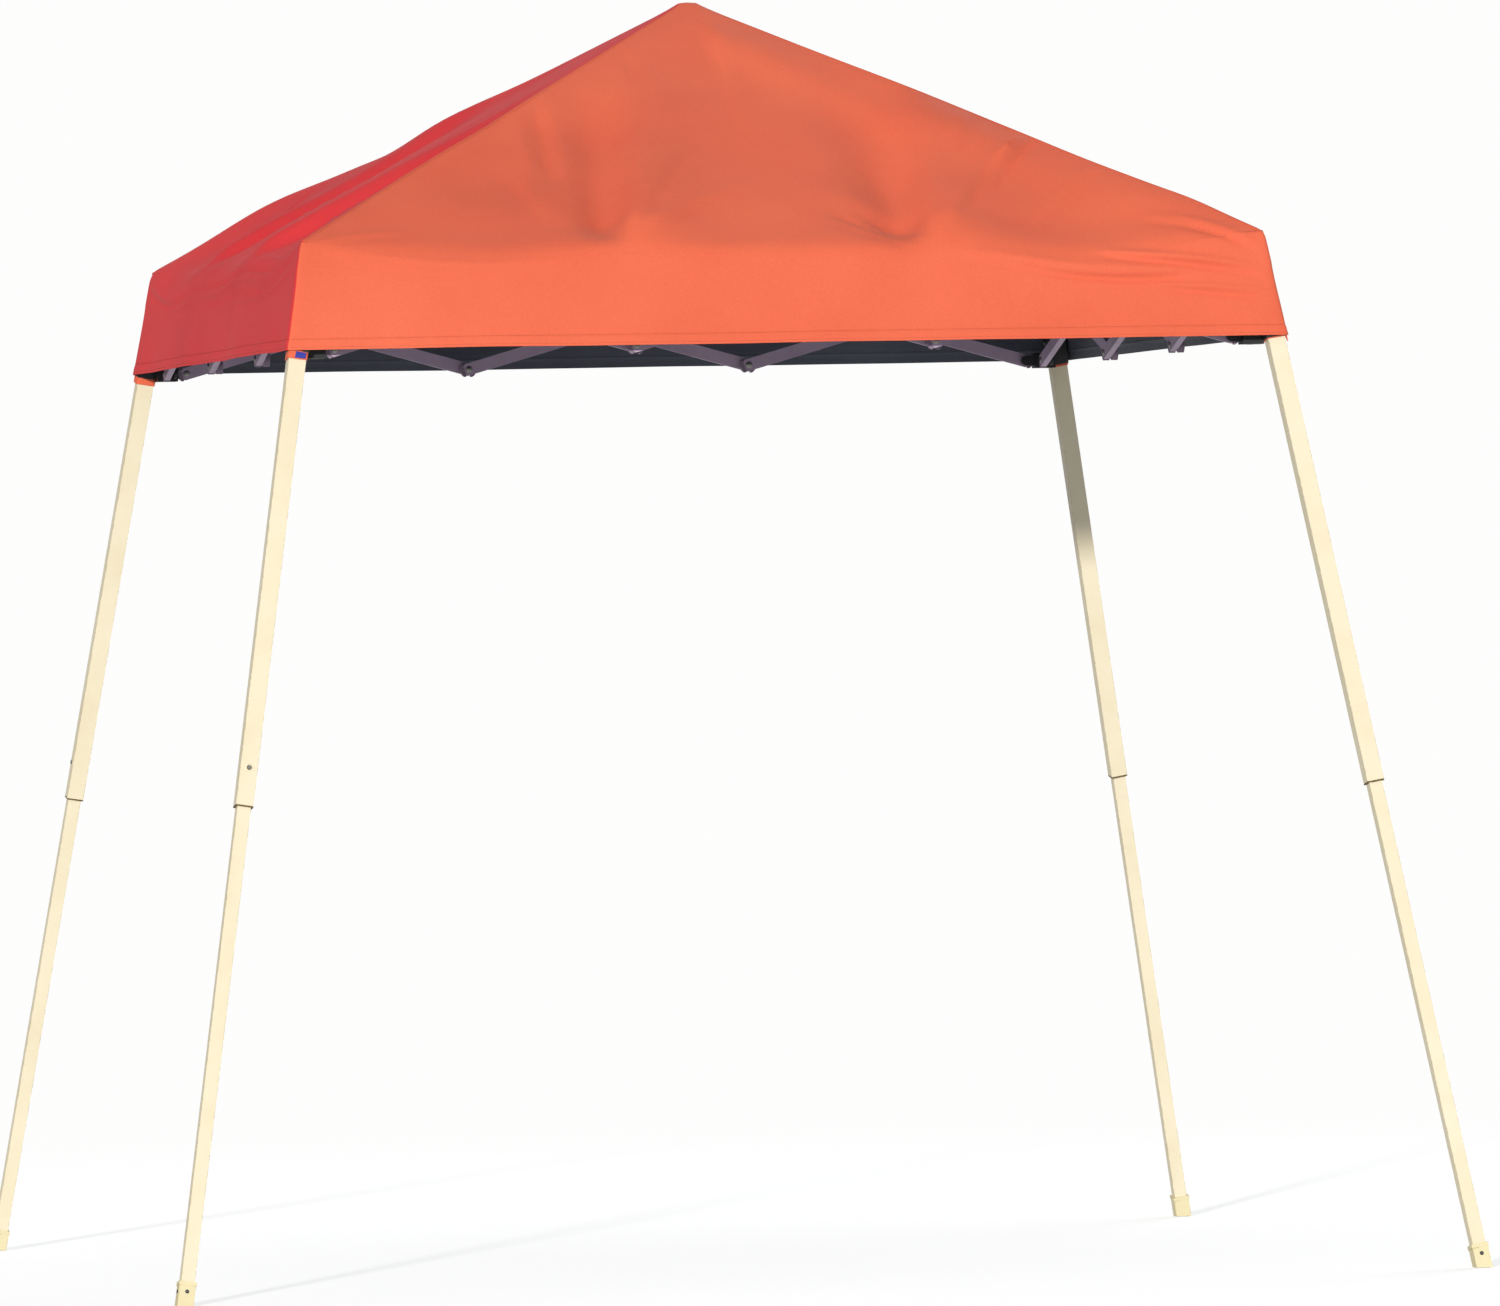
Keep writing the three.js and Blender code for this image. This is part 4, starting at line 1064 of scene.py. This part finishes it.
S2 = math.sqrt(2)
for q, c in enumerate(CORNERS):
    sw = np.array([-1.0, 1.0, 0]) / S2
    hp = np.array([-40 / S2, -40 / S2, 2358.0])
    lp = np.array([-852.0, -852.0, 1930.0])
    kn = (hp + lp) / 2
    bar_ends(f"upper_rafter_plugs_{c}", turn(hp + sw * LANE, q), turn(kn + sw * LANE, q), turn(sw, q),
             [(1, 1, 6), (1, -1, FAR)], f"upper_rafter_{c}")
    bar_ends(f"lower_rafter_plugs_{c}", turn(kn - sw * LANE, q), turn(lp - sw * LANE, q), turn(sw, q),
             [], f"lower_rafter_{c}")

paint("hub", M_BLACK, 0.0012, 2)
paint("hub_cap", M_BLACK, 0.0008, 2)
# hub: a centre bolt below
b = Build()
b.lathe([(0, 0), (12, 0), (12, 1.6), (8.2, 2.2), (0, 2.2)], np.array([0, 0, 2340.0]), np.array([0, 0, -1.0]), 28, 0)
b.lathe([(0, 2.2), (7.5, 2.2), (7.5, 8.2), (6.6, 9.0), (0, 9.0)], np.array([0, 0, 2340.0]), np.array([0, 0, -1.0]), 6, 0)
o = b.make("hub_bolt", [M_STEEL], 0.0004)
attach(o, "hub")

# ------------------------------------------------------------------ stage
m, nt, bs = new_mat("floor")
L = nt.links.new
tc = node(nt, "ShaderNodeTexCoord")
ln = node(nt, "ShaderNodeVectorMath", operation="LENGTH")
L(tc.outputs["Object"], ln.inputs[0])
fade = node(nt, "ShaderNodeMapRange", in_1=2.4, in_2=7.0, in_3=0.0, in_4=1.0)
fade.interpolation_type = "SMOOTHSTEP"
L(ln.outputs["Value"], fade.inputs[0])
bs.inputs["Base Color"].default_value = (0.72, 0.72, 0.715, 1)
bs.inputs["Roughness"].default_value = 0.9
bs.inputs["Specular IOR Level"].default_value = 0.1
bs.inputs["Emission Color"].default_value = (1, 1, 1, 1)
seen = node(nt, "ShaderNodeLightPath")
glow = node(nt, "ShaderNodeMath", operation="MULTIPLY")
L(seen.outputs["Is Camera Ray"], glow.inputs[0])
glow.inputs[1].default_value = 0.50
L(glow.outputs[0], bs.inputs["Emission Strength"])
em = node(nt, "ShaderNodeEmission", in_Strength=1.0)
em.inputs["Color"].default_value = (0.985, 0.985, 0.98, 1)
far = node(nt, "ShaderNodeMapRange", in_1=0.0, in_2=1.0, in_3=0.42, in_4=1.0)
L(seen.outputs["Is Camera Ray"], far.inputs[0])
L(far.outputs[0], em.inputs["Strength"])
mx = node(nt, "ShaderNodeMixShader")
L(fade.outputs[0], mx.inputs[0])
L(bs.outputs[0], mx.inputs[1])
L(em.outputs[0], mx.inputs[2])
L(mx.outputs[0], nt.nodes["Material Output"].inputs["Surface"])
bm = bmesh.new()
bmesh.ops.create_circle(bm, cap_ends=True, radius=60, segments=96)
me = bpy.data.meshes.new("floor")
bm.to_mesh(me)
bm.free()
me.materials.append(m)
floor = bpy.data.objects.new("floor", me)
bpy.context.scene.collection.objects.link(floor)
floor.location.z = -0.001

world = bpy.data.worlds.new("studio")
bpy.context.scene.world = world
world.use_nodes = True
wn = world.node_tree
bg = next(n_ for n_ in wn.nodes if n_.type == "BACKGROUND")
bg.inputs["Color"].default_value = (0.985, 0.985, 0.98, 1)
bg.inputs["Strength"].default_value = 1.0
# the camera sees white; the object is lit by a dimmer, softer sky
lp = wn.nodes.new("ShaderNodeLightPath")
bg2 = wn.nodes.new("ShaderNodeBackground")
bg2.inputs["Color"].default_value = (0.95, 0.97, 1.0, 1)
bg2.inputs["Strength"].default_value = 0.41
mixw = wn.nodes.new("ShaderNodeMixShader")
wn.links.new(lp.outputs["Is Camera Ray"], mixw.inputs[0])
wn.links.new(bg2.outputs[0], mixw.inputs[1])
wn.links.new(bg.outputs[0], mixw.inputs[2])
wn.links.new(mixw.outputs[0], wn.nodes["World Output"].inputs["Surface"])


def sun(name, azimuth, elevation, energy, size, color):
    """Light from azimuth (0 = from the front, positive to the right) and elevation, in degrees."""
    d = bpy.data.lights.new(name, "SUN")
    d.energy, d.angle, d.color = energy, math.radians(size), color
    o = bpy.data.objects.new(name, d)
    a, e = math.radians(azimuth), math.radians(elevation)
    v = Vector((math.sin(a) * math.cos(e), -math.cos(a) * math.cos(e), math.sin(e)))
    o.rotation_mode = "QUATERNION"
    o.rotation_quaternion = v.to_track_quat("Z", "Y")
    bpy.context.scene.collection.objects.link(o)


sun("key", -24, 10, 3.02, 2.6, (1.0, 0.975, 0.93))
sun("fill", 135, 20, 1.35, 40, (0.97, 0.985, 1.0))

vs = bpy.context.scene.view_settings
vs.view_transform = "Standard"
vs.look = "None"
vs.exposure = 0.0
vs.gamma = 1.0

# ------------------------------------------------------------------ camera, fitted to feet, eaves and peak
cam_d = bpy.data.cameras.new("camera")
cam_d.sensor_width = 36
cam_d.lens = 312.0
cam_d.clip_start, cam_d.clip_end = 0.1, 300
cam_d.shift_x = -0.0035
cam = bpy.data.objects.new("camera", cam_d)
yaw, pitch, roll = math.radians(11.34), math.radians(-0.03), math.radians(-1.15)
fwd = Vector((math.sin(yaw) * math.cos(pitch), math.cos(yaw) * math.cos(pitch), math.sin(pitch)))
right = Vector((math.cos(yaw), -math.sin(yaw), 0))
upv = right.cross(fwd)
cx = math.cos(roll) * right + math.sin(roll) * upv
cy = -math.sin(roll) * right + math.cos(roll) * upv
M4 = Matrix((
    (cx.x, cy.x, -fwd.x, -4.777),
    (cx.y, cy.y, -fwd.y, -24.36),
    (cx.z, cy.z, -fwd.z, 1.167),
    (0, 0, 0, 1),
))
cam.matrix_world = M4
bpy.context.scene.collection.objects.link(cam)
bpy.context.scene.camera = cam

bpy.context.view_layer.update()
